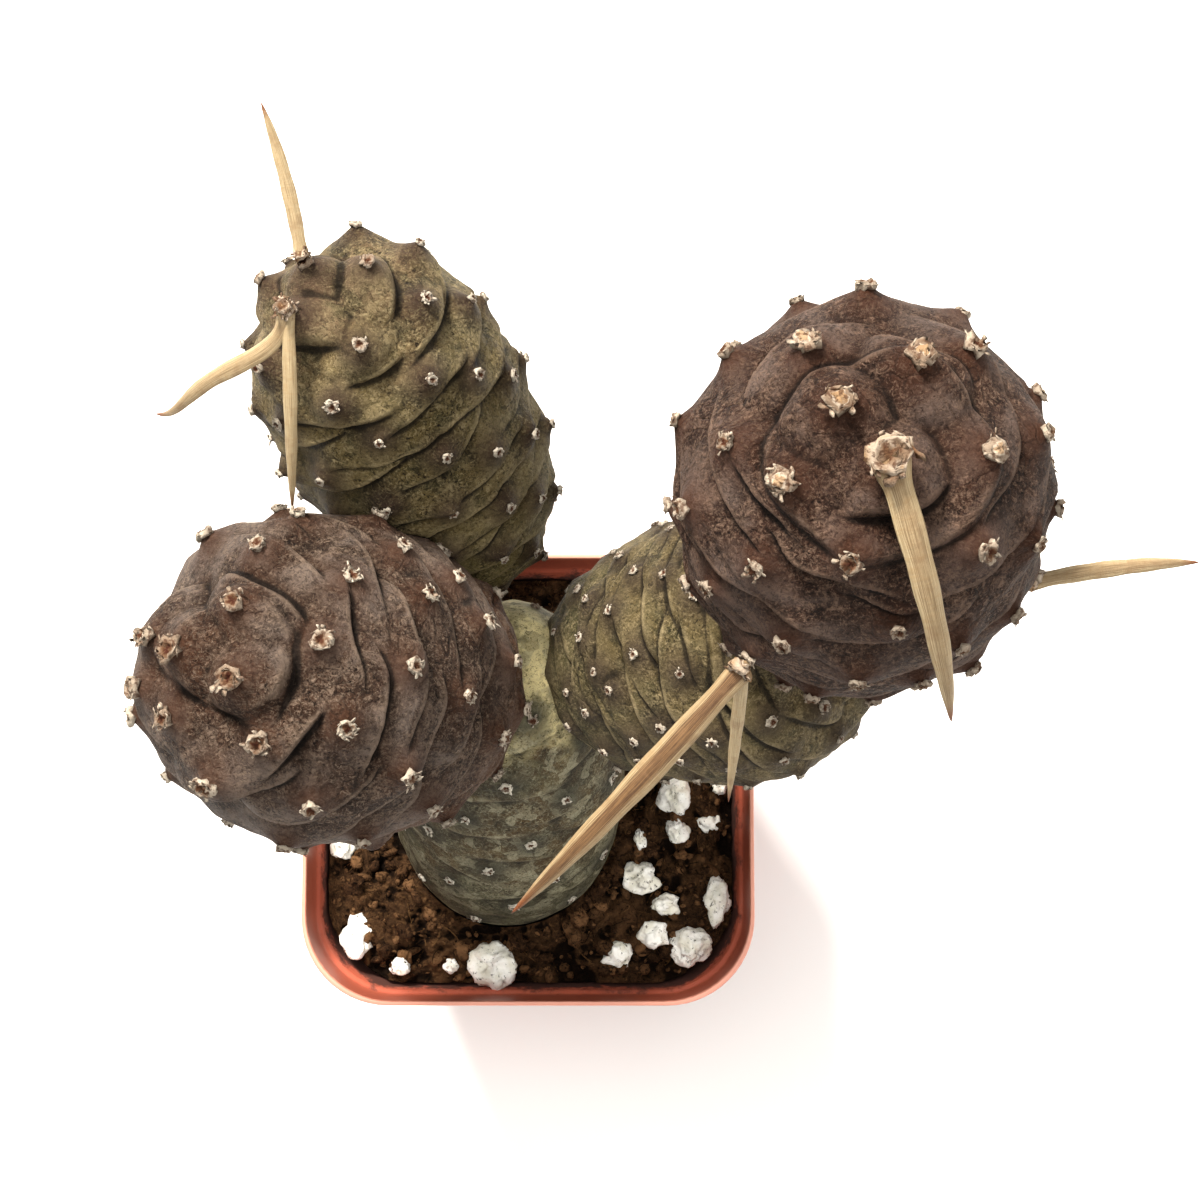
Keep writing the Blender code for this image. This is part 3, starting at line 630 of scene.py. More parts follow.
# The papery spines: the areole each grows from, how far over it the root is, how far back it starts
# and how torn it is, points that it passes, its greatest width, its width near the root and at it,
# and how brown it is. Lengths in mm
SPINES = {
    "spine_1": dict(
        stem="stem_back_left", areole=0, lift=0.9, back=0.3, torn=0.3,
        through=[(-25.9, 66.6, 147.5), (-28.8, 76.0, 150.0)], width=1.8, root=1.6,
        flare=1.9, brown=0.15,
    ),
    "spine_2": dict(
        stem="stem_back_left", areole=1, lift=1.5, back=0.6, torn=0.5,
        through=[(-28.0, 48.0, 144.5), (-33.6, 45.6, 142.0), (-39.2, 43.2, 137.5), (-44.2, 42.6, 131.6)],
        width=2.3, root=1.9, flare=2.4, brown=0.3,
    ),
    "spine_3": dict(
        stem="stem_back_left", areole=1, lift=0.8, back=0.2, torn=0.3,
        through=[(-25.9, 41.0, 142.0), (-26.9, 30.2, 132.0)], width=1.8, root=1.5,
        flare=1.7, brown=0.0,
    ),
    "spine_4": dict(
        stem="stem_right_upper", areole=1, lift=1.4, back=1.6, torn=1.3,
        through=[(44.0, 14.0, 179.5), (48.2, 2.2, 166.0)], width=2.9, root=3.1,
        flare=4.6, brown=0.35,
    ),
    "spine_5": dict(
        stem="stem_right_upper", areole=38, lift=0.7, back=2.2, torn=0.3,
        through=[(69.3, 20.4, 153.5), (79.0, 21.2, 152.0)], width=2.0, root=1.8,
        flare=2.2, brown=0.45,
    ),
    "spine_6": dict(
        stem="stem_right_upper", areole=32, lift=1.7, back=1.3, torn=0.6,
        through=[(13.6, -5.5, 150.0), (0.6, -18.6, 140.0)], width=3.2, root=2.6,
        flare=2.9, brown=1.0,
    ),
    "spine_7": dict(
        stem="stem_right_upper", areole=32, lift=0.8, back=0.8, torn=0.3,
        through=[(26.6, 2.2, 147.5), (26.2, -5.6, 138.0)], width=1.6, root=1.4,
        flare=1.6, brown=0.0,
    ),
}
# A spine's rings and columns, its widths as shares of the greatest and where they are, how thick
# its blade and the rolls along its edges are, where a roll is and how wide, and its keel's depth and middle
SPINE_ROWS = 64
SPINE_COLUMNS = 22
SPINE_PLACES = [0, 0.1, 0.35, 0.7, 0.88, 0.96, 1]
SPINE_WIDTHS = [0, 0.5, 1, 0.76, 0.42, 0.2, 0.03]
SPINE_THICK = 0.3 * MM
SPINE_EDGE = 0.16 * MM
EDGE_PLACE = 0.88
EDGE_WIDTH = 0.16
SPINE_KEEL = 0.2
KEEL_MIDDLE = 0.4
# It is thinner where it is narrower than this. Its width waves by a share, over so many radians,
# and its root is torn over a share of its length, in tears of a size
SPINE_NARROW = 0.5 * MM
SPINE_WAVE = 0.035
SPINE_WAVES = 31
TORN_SHARE = 0.08
TEAR_SIZE = 0.22
# The collar at its root: where along it, its size as a share of the root's width, and its tone
COLLAR_PLACE = 0.02
COLLAR_SIZE = 0.52
COLLAR_TONE = 0.55


def curve_through(points, share):
    """A smooth path through points: each coordinate is the polynomial that passes all of them at
    places spaced by the distances between them."""
    points = np.array(points)
    step = np.linalg.norm(np.diff(points, axis=0), axis=1)
    at = np.concatenate([[0], np.cumsum(step)]) / step.sum()
    weights = np.ones((len(share), len(at)))
    for i, own in enumerate(at):
        for j, other in enumerate(at):
            if i != j:
                weights[:, i] *= (share - other) / (own - other)
    return weights @ points


def spine_path(spine, share):
    """A spine's path: from over its areole through its points, its root drawn back a little."""
    places, outward, _, _, _ = areoles_of(spine["stem"])
    root = places[spine["areole"]] + outward[spine["areole"]] * spine["lift"] * MM
    path = curve_through([root, *np.array(spine["through"]) * MM], share)
    heading = path[1] - path[0]
    return path - spine["back"] * MM * heading / np.linalg.norm(heading) * (1 - share[:, None]) ** 4


def make_collars(rng):
    """The ragged collars round the spines' roots, as a piece of cushions and a piece of torn scales."""
    roots, ways, sizes = [], [], []
    for spine in SPINES.values():
        _, outward, down, side, _ = areoles_of(spine["stem"])
        number = spine["areole"]
        roots.append(spine_path(spine, np.array([0, COLLAR_PLACE, 1]))[1] + outward[number] * SPINE_THICK)
        ways.append([outward[number], down[number], side[number]])
        sizes.append(spine["flare"] * COLLAR_SIZE * MM)
    roots, sizes = np.array(roots), np.array(sizes)
    ways = tuple(np.array(ways).transpose(1, 0, 2))
    rings, tone = cushions(roots, ways, sizes, sizes * 0)
    wool = skins("wool_collars", rings, "spine", tone=tone + COLLAR_TONE)
    rings, tone = flakes(roots, ways, sizes, rng)
    frays = skins("frays_collars", rings, "spine", tone=tone)
    return [wool, frays]


def make_spine(name):
    """A papery spine: a thin blade with rolled edges and a keel, carried along its path."""
    spine = SPINES[name]
    share = np.linspace(0, 1, SPINE_ROWS)
    path = spine_path(spine, share)
    along = unit(np.gradient(path, axis=0))
    side = unit(np.cross([0, 0, 1], along))
    over = np.cross(along, side)
    widths = np.array(SPINE_WIDTHS) * spine["width"]
    widths[:2] = spine["flare"], spine["root"]
    half = np.interp(share, SPINE_PLACES, widths)[:, None] * MM / 2
    half = half * (1 + SPINE_WAVE * np.sin(share * SPINE_WAVES + 1)[:, None])
    turn = around(SPINE_COLUMNS)[None]
    across = np.cos(turn) * np.ones_like(half)
    roll = SPINE_EDGE * np.exp(-(((np.abs(across) - EDGE_PLACE) / EDGE_WIDTH) ** 2))
    thick = (SPINE_THICK * np.sqrt(1 - across ** 2 * 0.96) + roll) * np.minimum(half / SPINE_NARROW, 1)
    keel = SPINE_KEEL * 2 * half * (KEEL_MIDDLE - across ** 2)
    line = path[:, None] + side[:, None] * (half * across)[..., None]
    rings = line + over[:, None] * (np.sin(turn) * thick / 2 + keel)[..., None]
    key = np.stack(np.broadcast_arrays(across, np.sin(turn) * 0.2, spine["width"]), -1)
    torn = spine["torn"] * MM * cloud(key, TEAR_SIZE, 9) * np.clip(1 - share[:, None] / TORN_SHARE, 0, 1)
    rings = rings - along[:, None] * torn[..., None]
    rings[0] = rings[0].mean(0)
    rings[-1] = rings[-1].mean(0)
    none = 0 * across
    marks = {"along": share[:, None] + none, "across": across, "brown": spine["brown"] + none}
    return skins(f"papery_{name}", rings, "spine", [name], **marks)


# The pot: its corners' radius as a share of its half width, and its outer face from the underside
# up and its inner one down to the floor, as heights and half widths in mm
POT_CORNER = 13.5 / 34.75
POT_OUTSIDE = [
    (0.0, 22.6), (0.06, 23.0), (0.25, 23.4), (0.6, 23.75), (1.0, 24.03), (14.0, 26.36), (27.0, 28.69),
    (40.0, 31.02), (52.6, 33.26), (53.1, 33.38), (53.35, 33.5), (53.5, 33.75), (53.65, 34.05),
    (53.95, 34.18), (54.4, 34.22), (58.0, 34.47), (61.3, 34.71), (61.7, 34.69), (61.93, 34.55),
    (62.0, 34.33),
]
POT_INSIDE = [
    (61.95, 34.12), (61.75, 33.98), (61.4, 33.94), (58.0, 33.72), (54.6, 33.5), (54.2, 33.42),
    (53.95, 33.2), (53.75, 32.95), (53.4, 32.8), (50.0, 32.15), (40.0, 30.2), (27.0, 27.88),
    (14.0, 25.55), (1.6, 23.35), (1.1, 23.1), (0.85, 22.8), (0.8, 22.4),
]
# The steps round a corner, along half a side and along an axis, the lines from a drain hole
# outwards, the holes' radius and how far they are from both axes
CORNER_STEPS = 14
FLAT_STEPS = 7
AXIS_STEPS = 7
FLOOR_ROWS = 5
DRAIN_RADIUS = 3.0
DRAIN_OFFSET = 13.0
MERGE_DISTANCE = 1e-6
SHARP_ANGLE = math.radians(38)


def quarter_ring():
    """A quarter of the pot's rounded square of half width one, from +X round to +Y."""
    middle = 1 - POT_CORNER
    turn = np.linspace(0, math.pi / 2, CORNER_STEPS + 1)
    corner = np.stack([middle + POT_CORNER * np.cos(turn), middle + POT_CORNER * np.sin(turn)], -1)
    run = np.linspace(0, middle, FLAT_STEPS + 1)[:-1]
    first = np.stack([np.ones_like(run), run], -1)
    last = first[::-1, ::-1]
    return np.concatenate([first, corner, last])


def quarter_turns(grid):
    """A grid of points and its copies turned by one, two and three right angles about the Z axis."""
    turned = [grid]
    for _ in range(3):
        before = turned[-1]
        turned.append(np.stack([-before[..., 1], before[..., 0], before[..., 2]], -1))
    return turned


def wall_quarter():
    """A quarter of the pot's wall: its outer and inner profile carried along the quarter ring."""
    ring = quarter_ring()
    profile = np.array(POT_OUTSIDE + POT_INSIDE)
    return at_height(ring[None] * profile[:, 1, None, None], profile[:, :1])


def floor_quarter():
    """A quarter of the pot's floor: lines from the drain hole's edge out to the quarter's border, on
    the underside and on the top, joined down the hole's wall."""
    rings = []
    for height, width in (POT_OUTSIDE[0], POT_INSIDE[-1]):
        edge = quarter_ring() * width
        back = np.linspace(1, 0, AXIS_STEPS + 1)[1:, None] * [0, width]
        out = np.linspace(0, 1, AXIS_STEPS + 1)[1:-1, None] * [width, 0]
        border = np.concatenate([edge, back, out])
        ray = border - DRAIN_OFFSET
        hole = DRAIN_OFFSET + DRAIN_RADIUS * ray / np.linalg.norm(ray, axis=1, keepdims=True)
        share = np.linspace(0, 1, FLOOR_ROWS)[:, None, None]
        rings.append(at_height(border[None] * (1 - share) + hole[None] * share, height))
    whole = np.concatenate([rings[0], rings[1][::-1]])
    return np.concatenate([whole, whole[:, :1]], 1)


def make_pot():
    """The pot: four quarters of wall and floor, merged into one closed shell."""
    points, faces, start = [], [], 0
    for grid in quarter_turns(wall_quarter() * MM) + quarter_turns(floor_quarter() * MM):
        rows, columns = grid.shape[:2]
        at = start + np.arange((rows - 1) * columns).reshape(rows - 1, columns)[:, :-1].ravel()
        faces.append(np.stack([at, at + 1, at + columns + 1, at + columns], -1))
        points.append(grid.reshape(-1, 3))
        start += rows * columns
    mesh = bpy.data.meshes.new("plastic_pot")
    mesh.from_pydata(np.concatenate(points), [], np.concatenate(faces).tolist())
    edited = bmesh.new()
    edited.from_mesh(mesh)
    bmesh.ops.remove_doubles(edited, verts=edited.verts, dist=MERGE_DISTANCE)
    bmesh.ops.recalc_face_normals(edited, faces=edited.faces)
    edited.to_mesh(mesh)
    edited.free()
    mesh.shade_smooth()
    mesh.set_sharp_from_angle(angle=SHARP_ANGLE)
    mark_inside(mesh)
    return placed("plastic_pot", mesh, ["pot"])


def mark_inside(mesh):
    """Marks how far each of a shell's points faces its axis: -(normal . outward), from 0 to 1."""
    places = np.empty(len(mesh.vertices) * 3)
    normals = np.empty(len(mesh.vertices) * 3)
    mesh.vertices.foreach_get("co", places)
    mesh.vertices.foreach_get("normal", normals)
    flat = places.reshape(-1, 3)[:, :2]
    flat = flat / (np.linalg.norm(flat, axis=1, keepdims=True) + 1e-9)
    inside = np.clip(-(normals.reshape(-1, 3)[:, :2] * flat).sum(-1) * 2, 0, 1)
    mesh.attributes.new("inside", "FLOAT", "POINT").data.foreach_set("value", inside.astype(np.float32))


# The potting mix: its top at the wall, its rise towards the middle, the size and height of its
# lumps, how deep the ridges between them cut, how far they sink and how they die away at the wall
SOIL_TOP = 50.2 * MM
SOIL_CROWN = 1.4 * MM
SOIL_LUMPS = [(8.0 * MM, 1.1 * MM), (3.3 * MM, 1.7 * MM), (1.5 * MM, 1.1 * MM), (0.8 * MM, 0.6 * MM)]
SOIL_RIDGE = 1.6
SOIL_SUNK = 0.5 * MM
SOIL_EDGE_FALL = 0.4
SOIL_EDGE_POWER = 6
# The height in the middle of the mark for high and low mix, whose low places get painted shade, and its
# range
LUMP_MIDDLE = 0.9 * MM
LUMP_RANGE = 3.0 * MM
# Its place in the pot: its floor, how round its corners are and its gap to what is round it
SOIL_FLOOR = 1.1 * MM
SOIL_CORNER = 0.4
SOIL_GAP = 0.3 * MM
# Its columns, the rings of its top and its socket, the share of the segment's length and the steps
# in which the socket's edge is looked for, the rings down its side, and their sizes on its floor.
# Then how often a step to its edge is halved and how far off the edge may be, in half widths
SOIL_COLUMNS = 330
SOIL_TOP_ROWS = 105
SOCKET_ROWS = 14
SOCKET_REACH = 0.35
SOCKET_STEPS = 240
SIDE_HEIGHTS = [46 * MM, 38 * MM, 26 * MM, 14 * MM, 3 * MM, SOIL_FLOOR]
FLOOR_SIZES = [0.66, 0.33, 0.0]
HALVINGS = 30
EDGE_REACH = 3


def mix_half_width(height):
    """Half the width of the mix at a height, a gap inside the pot's wall."""
    inside = np.array(POT_INSIDE[::-1]) * MM
    return np.interp(height, inside[:, 0], inside[:, 1]) - SOIL_GAP


def wall_share(flat, height):
    """How near the wall each place is: 0 in the middle, 1 on the rounded square of the mix's edge."""
    reach = np.abs(flat) / mix_half_width(height)
    middle = 1 - SOIL_CORNER
    past = np.maximum(reach - middle * reach.max(-1, keepdims=True), 0)
    corner = np.hypot(past[..., 0], past[..., 1])
    along = reach.max(-1)
    return np.maximum(along, np.where(past.min(-1) > 0, middle * along + corner, along))


def soil_height(flat):
    """The height of the mix's top: a low crown with broad lumps and three sizes of ridged ones."""
    share = np.clip(wall_share(flat, SOIL_TOP), 0, 1)
    points = at_height(flat, 0)
    height = SOIL_TOP + SOIL_CROWN * (1 - share ** 2)
    for number, (size, rise) in enumerate(SOIL_LUMPS):
        wave = cloud(points, size, 20 + number)
        wave = 1 - SOIL_RIDGE * np.abs(wave) if number else wave
        height = height + rise * wave * (1 - SOIL_EDGE_FALL * share ** SOIL_EDGE_POWER)
    return height - SOIL_SUNK


def edge_from(middle, direction, height):
    """Where rays from a point meet the mix's edge at a height, by halving steps."""
    low = np.zeros(len(direction))
    high = np.full(len(direction), EDGE_REACH * mix_half_width(height))
    for _ in range(HALVINGS):
        half = (low + high) / 2
        out = wall_share(middle + direction * half[:, None], height) > 1
        low, high = np.where(out, low, half), np.where(out, half, high)
    return middle + direction * low[:, None]


def make_soil():
    """The potting mix: rings from the socket's bottom up the stem, over the top, down the pot's wall
    and in across its floor."""
    stem = STEMS["stem_base"]
    outline = outline_of(stem)
    angle = around(SOIL_COLUMNS)
    arcs = np.linspace(outline["arc"][-1], outline["arc"][-1] * SOCKET_REACH, SOCKET_STEPS)
    fine, outward, _, _ = spots_on(outline, *np.meshgrid(arcs, angle, indexing="ij"))
    swollen = to_world(stem, fine + outward * SOIL_GAP)
    top = soil_height(swollen[..., :2])
    reached = np.argmax(swollen[..., 2] > top, axis=0)
    rows = np.linspace(0, 1, SOCKET_ROWS)[:, None] * reached
    low = np.floor(rows).astype(int)
    part = (rows - low)[..., None]
    column = np.arange(SOIL_COLUMNS)
    socket = swollen[low, column] * (1 - part) + swollen[np.minimum(low + 1, len(arcs) - 1), column] * part
    rim = socket[-1, :, :2]
    middle = rim.mean(0)
    edge = edge_from(middle, unit(rim - middle), SOIL_TOP)
    share = np.linspace(0, 1, SOIL_TOP_ROWS)[1:, None, None]
    flat = rim[None] * (1 - share) + edge[None] * share
    crust = at_height(flat, soil_height(flat))
    sides = [at_height(edge_from(middle * 0, unit(edge), height), height) for height in SIDE_HEIGHTS]
    sides += [sides[-1] * [size, size, 1] for size in FLOOR_SIZES]
    socket[0] = socket[0].mean(0)
    rings = np.concatenate([socket, crust, np.array(sides)])
    crown = SOIL_TOP + SOIL_CROWN * (1 - wall_share(rings[..., :2], SOIL_TOP) ** 2)
    lump = np.clip(0.5 + (rings[..., 2] - crown - LUMP_MIDDLE) / LUMP_RANGE, 0, 1)
    return skins("potting_mix", rings, "soil", ["soil"], lump=lump)


def scatter(count, rng, margin):
    """Random places on the mix that are clear of the wall and the stem, at most a number of them."""
    half = mix_half_width(SOIL_TOP)
    flat = rng.uniform(-half, half, (count * 3, 2))
    inside = wall_share(flat, SOIL_TOP) < 1 - margin / half
    free = ~near_stem(STEMS["stem_base"], at_height(flat, SOIL_TOP), STEM_CLEAR + margin)
    return flat[inside & free][:count]


# Crumbs and clods: the most there are, how clear of the wall and the stem they keep, their least
# and greatest radius, the share that is larger and how much, their least and greatest stretch each
# way, their level and lumps, how far apart in the noise two of them are, how far over the mix they
# lie in radii, and their rings and columns. Lengths in mm
BITS = {
    "mix_crumbs": dict(
        count=1100, clear=0.7, radius=(0.22, 0.55), larger=(0.15, 2.3),
        stretch=[(0.9, 1.9), (0.6, 1), (0.5, 0.9)], level=1, lumps=[(0.8, 0.35, 30)], apart=3.3,
        over=0.15, grid=(6, 6),
    ),
    "mix_clods": dict(
        count=150, clear=1.4, radius=(0.7, 1.8), larger=None,
        stretch=[(0.9, 1.5), (0.7, 1), (0.6, 0.9)], level=1.15, lumps=[(0.7, -0.7, 31), (0.3, -0.4, 32)],
        apart=5.1, over=0.4, grid=(12, 14),
    ),
}
STEM_CLEAR = 0.4 * MM
# Fibres: the most there are, their rings and columns, how clear of the wall and the stem they
# keep, and ranges of their length, bend and radius, in mm and radians. Then how far over the mix
# they lie and how high they arch
FIBRES = 260
FIBRE_ROWS = 9
FIBRE_COLUMNS = 5
FIBRE_CLEAR = 2.5 * MM
FIBRE_LENGTH = (1.5, 5)
FIBRE_BEND = (-1.6, 1.6)
FIBRE_RADIUS = (0.05, 0.13)
FIBRE_OVER = 0.25 * MM
FIBRE_ARCH = 0.5 * MM


def round_ways(rows, columns):
    """Directions over a ball, in rings from its top to its bottom."""
    tilt = np.linspace(0, math.pi, rows)[:, None]
    turn = around(columns)[None]
    return np.stack([np.sin(tilt) * np.cos(turn), np.sin(tilt) * np.sin(turn), np.cos(tilt) + 0 * turn], -1)


def turned_ways(rng, count):
    """Random right-handed sets of three directions."""
    first = unit(rng.normal(size=(count, 3)))
    second = unit(np.cross(first, rng.normal(size=(count, 3))))
    return np.stack([first, second, np.cross(first, second)], 1)


def lumpy(key, level, lumps):
    """How far a ball's points are from its middle: a level and waves of noise, each with a size, a
    height and a seed. A wave whose height is below zero is folded at zero, so that it forms ridges."""
    for size, rise, seed in lumps:
        wave = cloud(key, size, seed)
        level = level + rise * (np.abs(wave) if rise < 0 else wave)
    return level


def make_bits(name, rng):
    """Crumbs or clods on the mix: lumpy balls stretched and turned by random amounts."""
    bits = BITS[name]
    flat = scatter(bits["count"], rng, bits["clear"] * MM)
    count = len(flat)
    size = rng.uniform(*bits["radius"], count) * MM
    if bits["larger"]:
        share, more = bits["larger"]
        size = size * np.where(rng.random(count) < share, more, 1.0)
    stretch = np.stack([rng.uniform(*ends, count) for ends in bits["stretch"]], -1)
    ways = round_ways(*bits["grid"])
    key = ways[None] + np.arange(count)[:, None, None, None] * bits["apart"]
    local = ways[None] * lumpy(key, bits["level"], bits["lumps"])[..., None] * stretch[:, None, None]
    local = np.einsum("nrci,nij->nrcj", local, turned_ways(rng, count)) * size[:, None, None, None]
    centre = at_height(flat, soil_height(flat) + bits["over"] * size)
    tone = rng.random(count)[:, None, None] + np.zeros(local.shape[:3])
    return skins(name, centre[:, None, None] + local, "soil", tone=tone)


def make_fibres(rng):
    """Threads of peat and coir on the mix: thin tapered tubes along bent lines that follow its top."""
    flat = scatter(FIBRES, rng, FIBRE_CLEAR)
    count = len(flat)
    turn = rng.uniform(0, 2 * math.pi, count)[:, None]
    length = rng.uniform(*FIBRE_LENGTH, count)[:, None] * MM
    bend = rng.uniform(*FIBRE_BEND, count)[:, None]
    share = np.linspace(-0.5, 0.5, FIBRE_ROWS)[None]
    heading = turn + bend * share
    step = (length / (FIBRE_ROWS - 1))[..., None]
    way = np.stack([np.cos(heading), np.sin(heading)], -1)
    path = flat[:, None] + np.cumsum(way, 1) * step - way.sum(1, keepdims=True) * step / 2
    arch = FIBRE_ARCH * np.sin((share + 0.5) * math.pi) * rng.random(count)[:, None]
    path = at_height(path, soil_height(path) + FIBRE_OVER + arch)
    side = np.concatenate([-way[..., 1:], way[..., :1], 0 * way[..., :1]], -1)
    radius = rng.uniform(*FIBRE_RADIUS, count)[:, None] * MM * np.sqrt(np.clip(1 - (2 * share) ** 2, 0, 1))
    corner = around(FIBRE_COLUMNS)
    ring = np.cos(corner)[:, None] * side[:, :, None] + np.sin(corner)[:, None] * np.array([0, 0, 1])
    tone = rng.random(count)[:, None, None] + np.zeros((count, FIBRE_ROWS, FIBRE_COLUMNS))
    return skins("mix_fibres", path[:, :, None] + ring * radius[..., None, None], "soil", tone=tone)


# The perlite grains on the mix: place and half lengths along X and Y, in mm
GRAINS = [
    (-5.8, -29.0, 3.5, 2.9), (-27.2, -25.2, 2.4, 3.0), (-20.5, -29.4, 1.4, 1.2),
    (-29.7, -10.4, 1.6, 2.0), (22.7, -2.6, 2.2, 2.6), (23.2, -8.0, 1.6, 1.7),
    (28.4, -7.1, 1.9, 1.6), (17.2, -9.3, 0.9, 1.4), (17.6, -15.2, 2.8, 2.1),
    (21.4, -19.6, 2.2, 1.9), (29.3, -19.1, 1.9, 3.1), (19.4, -24.2, 2.2, 1.8),
    (13.8, -27.6, 2.2, 2.0), (25.4, -26.6, 3.0, 2.8), (29.8, -1.1, 1.2, 1.2),
    (-12.4, -29.0, 1.0, 1.0),
]
# A grain's half height as a share of its smaller half length, how much of that it lies over the mix
# and how far more, its rings and columns, its lumps, how far apart in the noise two grains are, how
# much larger it is than its lumps leave it, and the size, start and depth of its pits
GRAIN_DEPTH = 0.8
GRAIN_SUNK = 0.45
GRAIN_OVER = 0.4 * MM
GRAIN_GRID = (28, 36)
GRAIN_LUMPS = [(0.9, 0.42, 40), (0.55, -0.5, 41), (0.24, -0.2, 42)]
GRAIN_APART = 3.7
GRAIN_MORE = 0.2
PIT_SIZE = 0.2
PIT_START = 0.35
PIT_DEPTH = 0.25


def make_grain(number):
    """A perlite grain: an egg shape with large lumps, small lumps and pits."""
    x, y, half_x, half_y = (value * MM for value in GRAINS[number])
    half_z = GRAIN_DEPTH * min(half_x, half_y)
    ways = round_ways(*GRAIN_GRID)
    key = ways + number * GRAIN_APART
    pits = np.clip(cloud(key, PIT_SIZE, 43) - PIT_START, 0, 1)
    far = lumpy(key, 1, GRAIN_LUMPS) + GRAIN_MORE - PIT_DEPTH * pits
    high = soil_height(np.array([[x, y]]))[0] + GRAIN_SUNK * half_z + GRAIN_OVER
    rings = ways * far[..., None] * [half_x, half_y, half_z] + [x, y, high]
    return skins(f"grain_{number + 1}", rings, "perlite", [f"perlite_{number + 1}"], pit=pits)


def node(tree, kind, inputs=None, **settings):
    """Adds a shader node with its settings and the values or links of its inputs."""
    made = tree.nodes.new("ShaderNode" + kind)
    for name, value in settings.items():
        setattr(made, name, value)
    for name, value in (inputs or {}).items():
        if isinstance(value, bpy.types.NodeSocket):
            tree.links.new(value, made.inputs[name])
        else:
            made.inputs[name].default_value = value
    return made


def mixed(tree, share, first, second):
    """The colour between two, each of them a link or screen values of 0 to 255."""
    first, second = (colour(*tint) if isinstance(tint, tuple) else tint for tint in (first, second))
    return node(tree, "Mix", {0: share, 6: first, 7: second}, data_type="RGBA").outputs[2]


def ramp(tree, value, low, high, start=0.0, end=1.0):
    """A number that goes smoothly from start to end while a value goes from low to high."""
    inputs = {"Value": value, "From Min": low, "From Max": high, "To Min": start, "To Max": end}
    return node(tree, "MapRange", inputs, interpolation_type="SMOOTHSTEP").outputs[0]


def coats(tree, paint, *layers):
    """A paint under further colours. Each covers none of it where its value is at the first number,
    and its share of it at the second."""
    for value, bare, full, tint, share in layers:
        paint = mixed(tree, ramp(tree, value, bare, full, 0.0, share), paint, tint)
    return paint


def times(tree, first, second):
    """The product of two numbers."""
    return node(tree, "Math", {0: first, 1: second}, operation="MULTIPLY").outputs[0]


def plus(tree, first, second, share):
    """A number and a share of another."""
    return node(tree, "Math", {0: first, 1: times(tree, second, share)}, operation="ADD").outputs[0]


def mark(tree, name):
    """A number that the mesh carries at each point."""
    return node(tree, "Attribute", attribute_name=name).outputs["Fac"]


def noise(tree, vector, scale, detail=3.0, roughness=0.55, swirl=0.0):
    """Noise from 0 to 1."""
    inputs = {
        "Vector": vector, "Scale": scale, "Detail": detail, "Roughness": roughness, "Distortion": swirl,
    }
    return node(tree, "TexNoise", inputs).outputs[0]


def group(name, numbers, outputs):
    """An empty shader group with a vector, named numbers in and named numbers out."""
    tree = bpy.data.node_groups.new(name, "ShaderNodeTree")
    tree.interface.new_socket("Vector", in_out="INPUT", socket_type="NodeSocketVector")
    for number in numbers:
        tree.interface.new_socket(number, in_out="INPUT", socket_type="NodeSocketFloat")
    for output in outputs:
        tree.interface.new_socket(output, in_out="OUTPUT", socket_type="NodeSocketFloat")
    return tree, tree.nodes.new("NodeGroupInput").outputs, tree.nodes.new("NodeGroupOutput").inputs


def scurf_group():
    """Fine corky scurf: specks of a size whose share of the surface rises and falls in patches."""
    tree, given, out = group("scurf", ["Size", "Patch Size", "Share"], ["Mask"])
    fine = noise(tree, given["Vector"], given["Size"], 4.0, 0.65)
    patch = noise(tree, given["Vector"], given["Patch Size"], 3.0, 0.6)
    level = plus(tree, times(tree, patch, 0.5), given["Share"], 0.5)
    tree.links.new(ramp(tree, plus(tree, level, fine, 0.9), 0.86, 1.08), out["Mask"])
    return tree


def crinkle_group():
    """Leathery skin: bent cells of a size, how near their borders are, a random number for each and
    the height that they give."""
    tree, given, out = group("crinkle", ["Size"], ["Border", "Cell", "Height"])
    vector, size = given["Vector"], given["Size"]
    bent = node(tree, "TexNoise", {"Vector": vector, "Scale": size, "Detail": 3.0}).outputs["Color"]
    push = node(tree, "VectorMath", {0: bent, "Scale": 0.0022}, operation="SCALE").outputs[0]
    place = node(tree, "VectorMath", {0: vector, 1: push}, operation="ADD").outputs[0]

    def cells(feature, output):
        return node(tree, "TexVoronoi", {"Vector": place, "Scale": size}, feature=feature).outputs[output]

    fine = noise(tree, vector, times(tree, size, 2.7), 4.0, 0.6)
    own = node(tree, "SeparateColor", {"Color": cells("F1", "Color")}).outputs["Red"]
    tree.links.new(ramp(tree, cells("DISTANCE_TO_EDGE", "Distance"), 0.12, 0.0), out["Border"])
    tree.links.new(own, out["Cell"])
    tree.links.new(plus(tree, fine, cells("SMOOTH_F1", "Distance"), -0.5), out["Height"])
    return tree


def grouped(tree, made, vector, **numbers):
    """Places a shared group in a material with its own values."""
    placed_group = tree.nodes.new("ShaderNodeGroup")
    placed_group.node_tree = made
    tree.links.new(vector, placed_group.inputs["Vector"])
    for name, value in numbers.items():
        placed_group.inputs[name.replace("_", " ")].default_value = value
    return placed_group.outputs


def material(name, roughness, **constants):
    """A new material, its tree and its object coordinates."""
    made = bpy.data.materials.new(name)
    made.use_nodes = True
    tree, shader = made.node_tree, made.node_tree.nodes["Principled BSDF"]
    shader.inputs["Roughness"].default_value = roughness
    for socket, value in constants.items():
        shader.inputs[socket.replace("_", " ")].default_value = value
    return made, tree, node(tree, "TexCoord").outputs["Object"]


